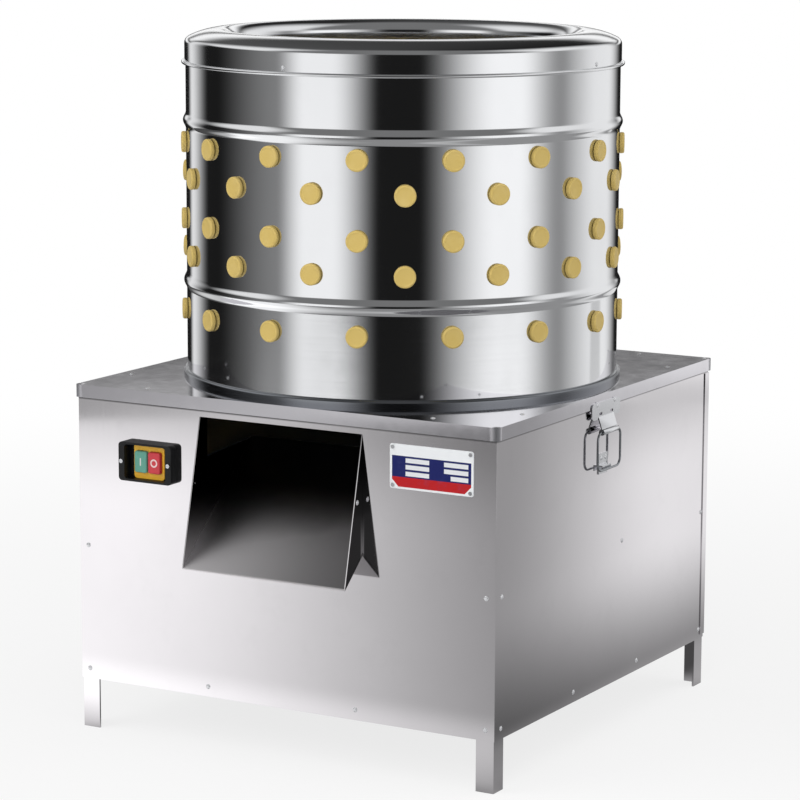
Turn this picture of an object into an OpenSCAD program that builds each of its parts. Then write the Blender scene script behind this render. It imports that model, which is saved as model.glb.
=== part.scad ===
// Drum plucker for poultry: a rubber-fingered stainless drum over a square cabinet.
// Millimetres, +Z up, front towards -Y. The origin is under the middle of the whole machine.

/* [Cabinet] */
// Width and depth over the panels
cabinet_w = 594; // [540:1:660]
// Thickness of the panel sheet
panel_t = 1.2; // [0.8:0.1:2]
// Height of the panels' lower edge above the floor
panel_bottom = 64; // [40:1:90]
// Flange width of the corner angles
leg_w = 24; // [20:1:26]
// Thickness of the corner angles
leg_t = 2.5; // [2:0.1:4]
// Flange width of the rails behind the panels
rail_w = 24; // [18:1:30]
// Thickness of the rails
rail_t = 2; // [1.5:0.1:3]

/* [Lid] */
// Height of the lid's top face
lid_top = 442; // [438:1:460]
// Overhang of the lid past the panels
lid_over = 3; // [2.5:0.1:4]
// Depth of the lid's turned-down lip
lid_lip = 16; // [13:1:18]
// Thickness of the lid sheet
lid_t = 1.2; // [0.8:0.1:1.6]
// Corner radius of the lid seen from above
lid_corner_r = 4; // [2:0.5:8]
// Thickness of the angle frame under the lid
lid_frame_t = 1.5; // [1:0.1:2]
// Depth of the angle frame under the lid
lid_frame_h = 20; // [14:1:22]

/* [Drum] */
// Margin from the drum wall out to the panels
drum_margin = 22; // [18:0.5:30]
// Thickness of the drum wall
drum_t = 1.2; // [0.8:0.1:1.6]
// Height of the drum wall above the lid
drum_h = 418; // [380:1:460]
// Heights of the two rolled beads above the lid
bead_heights = [121, 324];
// Half the height of a rolled bead
bead_half = 9; // [7:0.5:11]
// How far a rolled bead stands out of the wall
bead_out = 3.5; // [2:0.5:5]
// Section radius of the half-round ring at the drum's foot
foot_bead_r = 4.5; // [3:0.5:6]

/* [Cap ring] */
// Height of the cap's crest above the drum wall
cap_over = 20; // [18:0.5:24]
// Lap of the cap's skirt down over the drum wall
skirt_lap = 21; // [16:0.5:26]
// Section radius of the domed shoulder
shoulder_r = 90; // [75:1:110]
// Radial distance from the drum wall in to the crest
crest_in = 44; // [38:1:48]
// Section radius of the roll at the mouth
mouth_roll_r = 17; // [12:1:20]
// Height of the straight neck below that roll
mouth_neck = 6; // [4:1:10]
// Thickness of the cap sheet
cap_t = 1.2; // [0.8:0.1:1.6]
// Wire radius of the cap's two rolled edges
cap_edge_r = 2.2; // [1.6:0.1:2.6]

/* [Fingers] */
// Fingers in each row round the drum
fingers_per_row = 15; // [12:1:16]
// Heights of the finger rows above the lid, lowest first
row_heights = [85, 158.5, 200.5, 255.5, 297];
// Direction of the first finger of the second row, in degrees
finger_turn = -59.6; // [-180:0.1:180]
// Radius of a finger's outer head
finger_head_r = 13.4; // [12.5:0.1:15]
// Thickness of a finger's outer head
finger_head_t = 6; // [4:0.5:8]
// Radius of a finger's neck in the wall
finger_neck_r = 9.4; // [8:0.1:10]
// Length of a finger inside the wall
finger_len = 80; // [70:1:84]
// Radius of a finger at its root
finger_root_r = 11; // [10.5:0.1:11.5]
// Radius of a finger at its tip
finger_tip_r = 7.5; // [6.5:0.1:8.5]
// Ribs along a finger
finger_ribs = 6; // [4:1:8]

/* [Turntable] */
// Gap between the turntable's edge and the drum wall
table_gap = 25.8; // [20:0.1:34]
// Thickness of the turntable plate
turntable_t = 3; // [2:0.5:4]
// Height of the turntable's underside above the lid's top face
turntable_lift = 10; // [8:1:14]
// Radii of the two rings of turntable fingers
table_rings = [162, 96];
// Fingers in each of those rings
table_counts = [12, 6];

/* [Spindle and belt drive] */
// Radius of the spindle shaft
shaft_r = 12.5; // [10:0.5:14]
// Outside radius of the spindle bearings
bearing_r = 26; // [24:0.5:27]
// Height of a spindle bearing
bearing_h = 15; // [12:1:18]
// Outside radius of the spindle housing's tube
housing_r = 31; // [29.5:0.5:32]
// Distance of the cross beams from the drum axis
beam_y = 42; // [42:1:50]
// Height of the cross beams' top
beam_top = 264; // [255:1:268]
// Height of a cross beam
beam_h = 40; // [30:1:50]
// Depth of a cross beam
beam_d = 18; // [14:1:18]
// Thickness of the mounting plate
plate_t = 6; // [4:0.5:8]
// Outside radius of the driven pulley
driven_r = 120; // [100:1:124]
// Outside radius of the motor pulley
motor_pulley_r = 27; // [25:1:30]
// Distance of the motor axis behind the drum axis
motor_y = 185; // [180:1:192]
// Width of the V-belt at its back
belt_w = 12.6; // [11:0.1:13]
// Thickness of the V-belt
belt_t = 8; // [7:0.5:9]

/* [Motor] */
// Radius of the motor body under its ribs
motor_r = 66; // [60:1:68]
// Height of the ribs on the motor body
motor_rib_h = 6; // [4:1:8]
// Length of the motor body
motor_len = 134; // [120:1:138]
// Radius of the motor shaft
motor_shaft_r = 7; // [6:0.5:9]

/* [Feather pan and chute] */
// Width of the chute over its cheeks
chute_w = 232; // [200:1:240]
// Height of the top of the chute opening
chute_top = 417; // [410:1:418]
// How far the chute's lip stands in front of the panel
chute_reach = 41; // [30:1:60]
// Height of the chute's lip
chute_lip_z = 235; // [225:1:245]
// Slope of the chute's floor in degrees
chute_slope = 41; // [38:1:44]
// Thickness of the chute and pan sheet
chute_t = 1.2; // [0.8:0.1:1.6]
// Height of the feather pan at the drum axis
pan_z = 388; // [380:1:392]
// Slope of the feather pan in degrees
pan_slope = 4.3; // [2:0.1:5]

/* [Switch] */
// Width of the switch box
switch_w = 78; // [72:1:84]
// Height of the switch box
switch_h = 49; // [46:1:54]
// Depth of the switch box in front of the panel
switch_d = 12; // [10:0.5:16]
// Place of the switch box between the chute and the left leg, as a share of the free width
switch_share = 0.323; // [0.2:0.001:0.6]
// Height of the centre of the switch box
switch_z = 353; // [330:1:370]
// Width of the rims beside the switch's recess
switch_rim = 8.5; // [7:0.5:10]
// Width of the rims above and below that recess
switch_sill = 2.8; // [2.5:0.1:4]
// Depth of the switch's recess
switch_recess = 13; // [11:0.5:16]
// Width of a push button
button_w = 18; // [15:0.5:19]
// Height of a push button
button_h = 27; // [22:0.5:29]
// Travel of a push button
button_travel = 3; // [2:0.5:4]

/* [Nameplate] */
// Width of the nameplate
nameplate_w = 113; // [90:1:120]
// Height of the nameplate
nameplate_h = 54; // [40:1:58]
// Thickness of the nameplate
nameplate_t = 0.8; // [0.5:0.1:1.2]
// Place of the nameplate between the chute and the right leg, as a share of the free width
nameplate_share = 0.8; // [0.4:0.01:1]
// Height of the nameplate's centre
nameplate_z = 383.5; // [370:0.5:390]

/* [Latches] */
// Place of the latches along the side, from the drum axis
latch_y = -18; // [-60:1:60]
// Width of a latch plate
latch_w = 78; // [72:1:90]
// Thickness of a latch plate
latch_t = 1.5; // [1:0.1:1.8]
// Radius of the bail wire
bail_wire_r = 1.5; // [1.2:0.1:1.8]
// Width of the bail between its wire centres
bail_w = 63; // [56:1:70]
// Drop of the bail below its pivot
bail_drop = 48; // [40:1:55]
// Height of the bail's pivot
bail_z = 396; // [392:1:400]
// Distance of the bail's pivot from the panel
bail_out = 9; // [8.8:0.1:10]

/* [Fasteners] */
// Head radius of a rivet
rivet_head_r = 3.2; // [2.8:0.1:5]
// Head height of a rivet
rivet_head_h = 1.4; // [1:0.1:2.4]
// Shank radius of a rivet
rivet_r = 1.6; // [1.4:0.1:2.5]
// Thread radius of the frame bolts
bolt_r = 4; // [3:0.5:4.5]

/* [Hidden] */
$fn = 64;

// Clearances: seat is metal on metal in one body, run is a shaft in its bore, free is between moving bodies
seat = 0.05;
run = 0.06;
free = 0.3;

// Colours
steel = [0.80, 0.81, 0.83];
dark_steel = [0.55, 0.56, 0.58];
rubber_yellow = [0.93, 0.74, 0.20];
black = [0.06, 0.06, 0.065];
yellow = [0.98, 0.74, 0.15];
motor_blue = [0.16, 0.24, 0.36];

// Places worked out from the sizes above
half = cabinet_w / 2;
inner = half - panel_t;
lid_half = half + lid_over;
gland_out = 9;
axis_y = (chute_reach - max(lid_over, gland_out)) / 2;
lid_under = lid_top - lid_t;
frame_under = lid_under - lid_frame_t;
leg_top = frame_under - free;
panel_top = leg_top - 1;
drum_r = half - drum_margin;
drum_in = drum_r - drum_t;
turntable_r = drum_in - table_gap;
cap_rise = drum_h + cap_over;
skirt_low = drum_h - skirt_lap;
crest_r = drum_r - crest_in;
cap_top = lid_top + cap_rise;
mouth_r = crest_r - mouth_roll_r;
beam_low = beam_top - beam_h;
plate_top = beam_top + plate_t;
plate_half_w = 100;
plate_front = beam_y + beam_d / 2 + 20;
table_z = lid_top + turntable_lift;
hub_flange_h = 10;
hub_flange_r = 56;
hub_boss_r = 30;
collar_in = hub_boss_r + 3;
collar_out = collar_in + chute_t;
collar_top = table_z - hub_flange_h - 12;
housing_low = 150;
housing_flange_h = 10;
housing_top = plate_top + housing_flange_h;
pulley_h = 22;
pulley_low = housing_top + 20;
belt_z = pulley_low + pulley_h / 2;
belt_in_w = belt_w - 2 * belt_t * tan(16);
belt_turn = asin((driven_r - motor_pulley_r) / motor_y);
motor_flange_h = 12;
motor_top = beam_top - motor_flange_h;
motor_low = motor_top - motor_len;
fan_space = 34;
fan_low = motor_low - fan_space;
chute_half = chute_w / 2;
chute_lip_y = -half - chute_reach;
chute_top_y = (pan_z - chute_lip_z + tan(chute_slope) * chute_lip_y) / (tan(chute_slope) - tan(pan_slope));
chute_top_z = pan_z + tan(pan_slope) * chute_top_y;
chute_ear = 14;
bay_in = chute_half + chute_ear;
bay_out = half - leg_w;
switch_x = -bay_in - switch_w / 2 - switch_share * (bay_out - bay_in - switch_w);
nameplate_x = bay_in + nameplate_w / 2 + nameplate_share * (bay_out - bay_in - nameplate_w);
finger_hole_r = finger_neck_r + 0.1;
finger_collar_r = finger_root_r + 1;
recess_w = switch_w - 2 * switch_rim;
recess_h = switch_h - 2 * switch_sill;
switch_wall = 2;
body_w = recess_w + 2 * switch_wall;
body_h = recess_h + 2 * switch_wall;
bezel_t = 2.5;
bezel_h = recess_h - 2 * seat;
button_gap = 2;
bezel_w = 2 * button_w + button_gap + 7;
button_pitch = button_w + button_gap;
button_out = 5;
switch_back = 20;
switch_face = -half - switch_d;
latch_top = lid_top - 9;
latch_low = bail_z + 16;
knuckle_r = bail_wire_r + 2.4;
bail_bend = 10;
knuckle_half = bail_w / 2 - bail_bend - 0.5;
latch_slope = atan((bail_out - lid_over - latch_t / 2) / (latch_low - bail_z));
keeper_z = bail_z - bail_drop + bail_wire_r;
rivet_low = panel_bottom + 13;
rivet_mid = 237;
leg_rivet = inner - leg_w / 2 + 1;
back_flange = 12;
side_leg_rivet = half - back_flange - rivet_head_r - 1;
low_rivet_x = chute_half - 10;
low_rivet_y = 90;
beam_rivet_z = beam_top - beam_h / 2;
lid_rivet_at = lid_half - 19;
lid_rivet_side = lid_half - 97;
latch_rivet_v = 24;
latch_rivet_z = (latch_top + lid_top - lid_lip) / 2 + 1;
gland_x = 137 - half;
gland_z = 120;
gland_bore_r = 5;
cap_screw_z = lid_top + skirt_low + 6.5;
cap_screw_turns = [for (i = [0:3]) -91.5 + 90 * i];

// Rivet sites: front as [x, z], sides as [y, z]
front_rivets = [
    for (s = [-1, 1]) [s * leg_rivet, rivet_low],
    for (s = [-1, 1]) [s * leg_rivet, rivet_mid],
    for (s = [-1, 1]) [s * low_rivet_x, rivet_low]
];
side_rivets = [
    for (s = [-1, 1]) [s * side_leg_rivet, rivet_low],
    for (s = [-1, 1]) [s * side_leg_rivet, rivet_mid],
    for (s = [-1, 1]) [s * low_rivet_y, rivet_low],
    [beam_y, beam_rivet_z]
];
cheek_rivet = [-half - 12, 336];
back_screw_sites = [for (s = [-1, 1]) for (z = [rivet_low, rivet_mid, 400]) [s * leg_rivet, z]];
plate_bolts = [for (sx = [-1, 1]) for (sy = [-1, 1]) [sx * 80, sy * beam_y]];
housing_bolts = [for (sx = [-1, 1]) for (sy = [-1, 1]) [sx * 50, sy * 20]];
motor_bolts = [for (a = [45:90:315]) [50 * cos(a), motor_y + 50 * sin(a)]];
nameplate_rivet_sites = [
    for (sx = [-1, 1]) for (sz = [-1, 1])
        [nameplate_x + sx * (nameplate_w / 2 - 4), nameplate_z + sz * (nameplate_h / 2 - 4)]
];
hub_bolt_turns = [0:60:300];
hub_bolt_at = hub_flange_r - 5.5;

// Everything is drawn about the drum axis and then moved to the machine's own origin
module placed() {
    translate([0, axis_y, 0]) children();
}

module centred_box(size, low) {
    translate([-size[0] / 2, -size[1] / 2, low]) cube(size);
}

// A square with round corners, made of exact pieces
module round_square(w, h, r) {
    square([w - 2 * r, h], center = true);
    square([w, h - 2 * r], center = true);
    for (sx = [-1, 1])
        for (sy = [-1, 1])
            translate([sx * (w / 2 - r), sy * (h / 2 - r)]) circle(r);
}

// Outline in the Y-Z plane, drawn out along X between two places
module along_x(x0, x1) {
    translate([x0, 0, 0]) rotate([90, 0, 90]) linear_extrude(x1 - x0) children();
}

// Outline in the X-Z plane, drawn out along -Y from y0 by depth
module towards_front(y0, depth) {
    translate([0, y0, 0]) rotate([90, 0, 0]) linear_extrude(depth) children();
}

// Part of a band of sheet in a revolved section, between two directions
module band(radius, t, from, to) {
    reach = 2 * radius;
    mid = (from + to) / 2;
    intersection() {
        difference() {
            circle(radius);
            circle(radius - t);
        }
        polygon([
            [0, 0], [reach * cos(from), reach * sin(from)],
            [reach * cos(mid), reach * sin(mid)], [reach * cos(to), reach * sin(to)]
        ]);
    }
}

// Dome-headed rivet along +Z, its head's seat at zero
module rivet(grip) {
    dome_r = (rivet_head_r * rivet_head_r + rivet_head_h * rivet_head_h) / (2 * rivet_head_h);
    intersection() {
        translate([0, 0, rivet_head_h - dome_r]) sphere(dome_r);
        cylinder(r = rivet_head_r, h = rivet_head_h);
    }
    translate([0, 0, -grip]) cylinder(r = rivet_r, h = grip + 0.5);
}

module rivet_bore() {
    translate([0, 0, -12]) cylinder(r = rivet_r + seat, h = 14);
}

// Hexagon bolt along +Z with a nut below the grip
module frame_bolt(grip) {
    hex_r = 1.85 * bolt_r;
    cylinder(r = hex_r, h = 1.3 * bolt_r, $fn = 6);
    translate([0, 0, -grip - 1.7 * bolt_r]) cylinder(r = bolt_r, h = grip + 1.8 * bolt_r);
    translate([0, 0, -grip - 1.4 * bolt_r]) cylinder(r = hex_r, h = 1.4 * bolt_r, $fn = 6);
}

module front_sites(sites) {
    for (p = sites) translate([p[0], -half, p[1]]) rotate([90, 0, 0]) children();
}

module side_sites(sites) {
    for (p = sites)
        for (s = [-1, 1])
            translate([s * half, p[0], p[1]]) rotate([0, s * 90, 0]) children();
}

module back_sites(sites) {
    for (p = sites) translate([p[0], half, p[1]]) rotate([-90, 0, 0]) children();
}

module cheek_sites() {
    for (s = [-1, 1])
        translate([s * chute_half, cheek_rivet[0], cheek_rivet[1]]) rotate([0, s * 90, 0]) children();
}

// All shank holes of the cabinet's rivets and back screws
module cabinet_bores() {
    front_sites(front_rivets) rivet_bore();
    side_sites(side_rivets) rivet_bore();
    back_sites(back_screw_sites) rivet_bore();
}

// Section of a corner angle, in the corner given by the two signs
module leg_section(sx, sy, grow) {
    far = inner + grow;
    near = inner - leg_w - grow;
    web = inner - leg_t - grow;
    pts = [[far, far], [near, far], [near, web], [web, web], [web, near], [far, near]];
    polygon([for (p = pts) [sx * p[0], sy * p[1]]]);
}

module corner_leg(sx, sy) {
    color(steel) placed() difference() {
        linear_extrude(leg_top) leg_section(sx, sy, 0);
        cabinet_bores();
    }
}

module leg_front_left() {
    corner_leg(-1, -1);
}

module leg_front_right() {
    corner_leg(1, -1);
}

module leg_back_left() {
    corner_leg(-1, 1);
}

module leg_back_right() {
    corner_leg(1, 1);
}

// Front panel with the chute's opening, the switch's hole and the nameplate's rivet holes
module front_panel() {
    floor_at_panel = chute_lip_z + chute_reach * tan(chute_slope) - chute_t / cos(chute_slope) - 0.2;
    color(steel) placed() difference() {
        translate([-half, -half, panel_bottom]) cube([cabinet_w, panel_t, panel_top - panel_bottom]);
        translate([-chute_half - seat, -half - 1, floor_at_panel])
            cube([chute_w + 2 * seat, panel_t + 2, chute_top - floor_at_panel]);
        translate([switch_x, 0, switch_z]) towards_front(-inner + 1, panel_t + 2)
            round_square(body_w + 0.2, body_h + 0.2, 4.1);
        front_sites(nameplate_rivet_sites) rivet_bore();
        cabinet_bores();
    }
}

module side_panel(s) {
    x0 = s > 0 ? inner : -half;
    color(steel) placed() difference() {
        translate([x0, -inner, panel_bottom]) cube([panel_t, 2 * inner, panel_top - panel_bottom]);
        cabinet_bores();
        keeper_bores();
    }
}

module left_panel() {
    side_panel(-1);
}

module right_panel() {
    side_panel(1);
}

// Shallow tray that closes the back and laps over the edges of the side panels
module back_cover() {
    low = panel_bottom + 5;
    high = lid_top - lid_lip - 3;
    color(steel) placed() difference() {
        union() {
            translate([-half - panel_t, inner, low]) cube([cabinet_w + 2 * panel_t, panel_t, high - low]);
            for (x = [-half - panel_t, half])
                translate([x, half - back_flange, low]) cube([panel_t, back_flange, high - low]);
        }
        cabinet_bores();
        translate([gland_x, half + 1, gland_z]) rotate([90, 0, 0])
            cylinder(r = gland_bore_r + 3 + seat, h = 5);
        for (i = [0:5])
            translate([-60, half + 1, 300 + 14 * i]) rotate([90, 0, 0]) linear_extrude(5) vent_slot();
    }
}

// Round-ended slot of the back cover's vent
module vent_slot() {
    slot_len = 120;
    slot_r = 2.5;
    translate([0, -slot_r]) square([slot_len, 2 * slot_r]);
    for (x = [0, slot_len]) translate([x, 0]) circle(slot_r);
}

// Welded frame of rails along the foot of the panels
module base_frame() {
    color(steel) placed() difference() {
        translate([0, 0, panel_bottom + 1]) difference() {
            centred_box([2 * inner, 2 * inner, rail_w], 0);
            centred_box([2 * inner - 2 * rail_t, 2 * inner - 2 * rail_t, rail_w], rail_t);
            centred_box([2 * inner - 2 * rail_w, 2 * inner - 2 * rail_w, rail_w], -1);
        }
        for (sx = [-1, 1])
            for (sy = [-1, 1])
                linear_extrude(leg_top) leg_section(sx, sy, seat);
        cabinet_bores();
    }
}

// Angle between the back legs that carries the mounting plate's rear edge
module rear_rail() {
    span = inner - leg_w;
    color(steel) placed() difference() {
        along_x(-span, span) polygon([
            [inner, beam_top], [inner - rail_w, beam_top], [inner - rail_w, beam_top - rail_t],
            [inner - rail_t, beam_top - rail_t], [inner - rail_t, beam_top - rail_w],
            [inner, beam_top - rail_w]
        ]);
        cabinet_bores();
    }
}

// Channel between the side panels, with an end plate for its rivets
module cross_beam(s) {
    near = s * (beam_y - beam_d / 2);
    far = s * (beam_y + beam_d / 2);
    web = near + s * rail_t;
    color(steel) placed() difference() {
        union() {
            along_x(-inner, inner) polygon([
                [near, beam_low], [far, beam_low], [far, beam_low + rail_t], [web, beam_low + rail_t],
                [web, beam_top - rail_t], [far, beam_top - rail_t], [far, beam_top], [near, beam_top]
            ]);
            for (x = [-inner, inner - rail_t])
                translate([x, s * beam_y - beam_d / 2, beam_low]) cube([rail_t, beam_d, beam_h]);
        }
        cabinet_bores();
        for (p = plate_bolts) translate([p[0], p[1], beam_top - 8]) cylinder(r = bolt_r + seat, h = 10);
    }
}

module beam_front() {
    cross_beam(-1);
}

module beam_rear() {
    cross_beam(1);
}

// Plate that carries the spindle housing and hangs the motor
module mounting_plate() {
    motor_spigot_r = motor_shaft_r + 28;
    color(steel) placed() difference() {
        translate([-plate_half_w, -plate_front, beam_top])
            cube([2 * plate_half_w, plate_front + inner - rail_t, plate_t]);
        translate([0, 0, beam_top - 1]) cylinder(r = housing_r + seat, h = plate_t + 2);
        translate([0, motor_y, beam_top - 1]) cylinder(r = motor_spigot_r + seat, h = plate_t + 2);
        for (p = concat(plate_bolts, housing_bolts, motor_bolts))
            translate([p[0], p[1], beam_top - 1]) cylinder(r = bolt_r + seat, h = plate_t + 2);
    }
}

// Sloping sheet under the turntable, open at the chute and collared round the spindle
module feather_pan() {
    pan_len = 2 * (inner - 1) / cos(pan_slope);
    notch = leg_w + 1;
    color(steel) placed() difference() {
        union() {
            translate([0, 0, pan_z]) rotate([pan_slope, 0, 0])
                translate([-inner, -pan_len / 2, -chute_t]) cube([2 * inner, pan_len, chute_t]);
            translate([0, 0, pan_z - 5]) cylinder(r = collar_out, h = collar_top - pan_z + 5);
        }
        translate([0, 0, pan_z - 20]) cylinder(r = collar_in, h = collar_top - pan_z + 40);
        translate([-chute_half - seat, -half, pan_z - 60])
            cube([chute_w + 2 * seat, half + chute_top_y, 100]);
        translate([switch_x - body_w / 2 - 2, -half, pan_z - 60])
            cube([body_w + 4, switch_back + 2, 120]);
        for (sx = [-1, 1])
            for (sy = [-1, 1])
                translate([sx * inner - notch, sy * inner - notch, pan_z - 60])
                    cube([2 * notch, 2 * notch, 120]);
    }
}

// Chute folded from one sheet: a floor and two cheeks
module feather_chute() {
    ear_y = -inner + chute_ear;
    ear_z = pan_z + tan(pan_slope) * ear_y - chute_t - 0.5;
    top_z = chute_top_z - chute_t - 0.5;
    drop = chute_t / cos(chute_slope);
    cheek = [
        [chute_lip_y, chute_lip_z], [-half, chute_top - seat], [ear_y, chute_top - seat], [ear_y, ear_z],
        [chute_top_y, top_z], [chute_top_y, chute_top_z - drop - 1], [chute_lip_y, chute_lip_z - drop]
    ];
    floor_sheet = [
        [chute_lip_y, chute_lip_z], [chute_top_y, chute_top_z],
        [chute_top_y, chute_top_z - drop], [chute_lip_y, chute_lip_z - drop]
    ];
    color(steel) placed() difference() {
        union() {
            along_x(-chute_half, -chute_half + chute_t) polygon(cheek);
            along_x(chute_half - chute_t, chute_half) polygon(cheek);
            along_x(-chute_half, chute_half) polygon(floor_sheet);
        }
        cheek_sites() rivet_bore();
    }
}

// Flanged tube with a bearing seat at each end
module spindle_housing() {
    bore_r = bearing_r - 4;
    color(dark_steel) placed() difference() {
        union() {
            translate([0, 0, housing_low]) cylinder(r = housing_r, h = housing_top - housing_low);
            centred_box([128, 62, housing_flange_h], plate_top);
            translate([0, 0, plate_top]) cylinder(r = 40, h = housing_flange_h);
        }
        translate([0, 0, housing_low - 1]) cylinder(r = bore_r, h = 400);
        for (z = [housing_low - 1, housing_top - bearing_h])
            translate([0, 0, z]) cylinder(r = bearing_r + seat, h = bearing_h + 1);
        for (p = housing_bolts)
            translate([p[0], p[1], plate_top - 1]) cylinder(r = bolt_r + seat, h = housing_flange_h + 2);
    }
}

module spindle_bearings() {
    groove_r = (bearing_r + shaft_r) / 2;
    color(steel) placed() for (z = [housing_low, housing_top - bearing_h])
        translate([0, 0, z]) difference() {
            cylinder(r = bearing_r, h = bearing_h);
            translate([0, 0, -1]) cylinder(r = shaft_r + run, h = bearing_h + 2);
            for (end = [-1, bearing_h - 1]) translate([0, 0, end]) difference() {
                cylinder(r = groove_r + 4, h = 2);
                cylinder(r = groove_r - 4, h = 2);
            }
        }
}

module spindle_shaft() {
    shaft_low = housing_low - 6;
    color(dark_steel) placed() translate([0, 0, shaft_low])
        cylinder(r = shaft_r, h = table_z - free - shaft_low);
}

// Section of a V pulley: rim with one groove, web and hub
module pulley_section(rim_r, hub_r, hole_r, hub_h, web_h) {
    gap = free + 0.1;
    in_half = belt_in_w / 2 + gap;
    out_half = belt_w / 2 + gap;
    floor_r = rim_r - belt_t - 2 * gap;
    rim_in = floor_r - 6;
    difference() {
        union() {
            translate([hole_r, -hub_h / 2]) square([hub_r - hole_r, hub_h]);
            translate([hole_r, -web_h / 2]) square([rim_in - hole_r + 1, web_h]);
            translate([max(rim_in, hole_r), -pulley_h / 2])
                square([rim_r - max(rim_in, hole_r), pulley_h]);
        }
        polygon([
            [floor_r, -in_half], [rim_r + 1, -out_half - 0.3],
            [rim_r + 1, out_half + 0.3], [floor_r, in_half]
        ]);
    }
}

module driven_pulley() {
    color(dark_steel) placed() translate([0, 0, belt_z]) difference() {
        rotate_extrude() pulley_section(driven_r, hub_boss_r, shaft_r + seat, pulley_h + 14, 8);
        for (a = [0:72:288])
            rotate(a) translate([(driven_r + hub_boss_r) / 2 - 6, 0, -20]) cylinder(r = 21, h = 40);
    }
}

module motor_pulley() {
    color(dark_steel) placed() translate([0, motor_y, belt_z])
        rotate_extrude()
            pulley_section(motor_pulley_r, motor_shaft_r + 6, motor_shaft_r + seat, pulley_h + 10, pulley_h);
}

// Outline of the belt loop seen from above, drawn in by an amount
function belt_path(inset) = concat(
    [
        for (i = [0:48])
            let (a = 180 - belt_turn + (180 + 2 * belt_turn) * i / 48, r = driven_r - inset)
                [r * cos(a), r * sin(a)]
    ],
    [
        for (i = [0:16])
            let (a = belt_turn + (180 - 2 * belt_turn) * i / 16, r = motor_pulley_r - inset)
                [r * cos(a), motor_y + r * sin(a)]
    ]
);

// V-belt: a loop that narrows inwards in four steps
module v_belt() {
    steps = 4;
    color(black) placed() translate([0, 0, belt_z]) for (k = [0 : steps - 1]) {
        w = belt_in_w + (belt_w - belt_in_w) * k / steps;
        depth = belt_t * (1 - k / steps);
        translate([0, 0, -w / 2]) linear_extrude(w) difference() {
            polygon(belt_path(0));
            polygon(belt_path(depth));
        }
    }
}

// Hub with a water-shedding skirt over the pan's collar
module hub() {
    flange_low = table_z - hub_flange_h;
    skirt_in = collar_out + 4;
    color(steel) placed() difference() {
        rotate_extrude() {
            translate([shaft_r + seat, flange_low]) square([hub_flange_r - shaft_r - seat, hub_flange_h]);
            translate([shaft_r + seat, pan_z + 8])
                square([hub_boss_r - shaft_r - seat, flange_low - pan_z - 7]);
            translate([skirt_in, collar_top - 10]) square([3, flange_low - collar_top + 11]);
        }
        for (a = hub_bolt_turns)
            rotate(a) translate([hub_bolt_at, 0, flange_low - 1])
                cylinder(r = 3 + seat, h = hub_flange_h + 2);
    }
}

module hub_bolts() {
    color(steel) placed() for (a = hub_bolt_turns)
        rotate(a) translate([hub_bolt_at, 0, 0]) {
            translate([0, 0, table_z - hub_flange_h]) cylinder(r = 3, h = hub_flange_h + turntable_t + 0.5);
            translate([0, 0, table_z + turntable_t]) cylinder(r = 5.5, h = 4, $fn = 6);
        }
}

// Places of the upright fingers on the turntable
module table_finger_sites() {
    for (k = [0, 1])
        for (i = [0 : table_counts[k] - 1])
            rotate(360 / table_counts[k] * (i + 0.5 * k)) translate([table_rings[k], 0, 0]) children();
}

module turntable() {
    rim_h = 6;
    color(steel) placed() difference() {
        union() {
            translate([0, 0, table_z]) cylinder(r = turntable_r, h = turntable_t, $fn = 128);
            translate([0, 0, table_z - rim_h]) difference() {
                cylinder(r = turntable_r, h = rim_h + 1, $fn = 128);
                translate([0, 0, -1]) cylinder(r = turntable_r - 2, h = rim_h + 3, $fn = 128);
            }
        }
        for (a = hub_bolt_turns)
            rotate(a) translate([hub_bolt_at, 0, table_z - 1]) cylinder(r = 3 + seat, h = turntable_t + 2);
        table_finger_sites() translate([0, 0, table_z - 1]) cylinder(r = finger_hole_r, h = turntable_t + 2);
    }
}

// One rubber finger along +Z: head below zero, wall from zero to t, ribbed body above
module finger(t) {
    pitch = (finger_len - 14) / finger_ribs;
    rib_h = 1.3;
    taper = (finger_root_r - finger_tip_r) / finger_len;
    body = [
        for (i = [0 : finger_ribs - 1])
            let (z = t + 6 + i * pitch, r = finger_root_r - taper * (z - t))
                each [
                    [r, z], [r, z + 0.55 * pitch],
                    [r - rib_h, z + 0.7 * pitch], [r - rib_h, z + 0.9 * pitch]
                ]
    ];
    edge = finger_head_t / 3;
    rotate_extrude() polygon(concat(
        [
            [0, -finger_head_t], [finger_head_r - edge, -finger_head_t],
            [finger_head_r, -finger_head_t + edge],
            [finger_head_r, -edge], [finger_head_r - edge / 2, 0], [finger_neck_r, 0], [finger_neck_r, t],
            [finger_collar_r, t], [finger_collar_r, t + 4]
        ],
        body,
        [[finger_tip_r, t + finger_len - 5], [finger_tip_r - 2.5, t + finger_len], [0, t + finger_len]]
    ));
}

module turntable_fingers() {
    color(rubber_yellow) placed() table_finger_sites() translate([0, 0, table_z]) finger(turntable_t + seat);
}

module motor_flange() {
    spigot_r = motor_shaft_r + 28;
    color(motor_blue) placed() translate([0, motor_y, 0]) difference() {
        union() {
            translate([0, 0, motor_top]) cylinder(r = motor_r, h = motor_flange_h);
            translate([0, 0, motor_top + 1]) cylinder(r = spigot_r, h = motor_flange_h + 2);
        }
        translate([0, 0, motor_top - 1]) cylinder(r = motor_shaft_r + run, h = motor_flange_h + 10);
        translate([0, -motor_y, 0]) for (p = motor_bolts)
            translate([p[0], p[1], motor_top - 1]) cylinder(r = bolt_r + seat, h = motor_flange_h + 2);
    }
}

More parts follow.
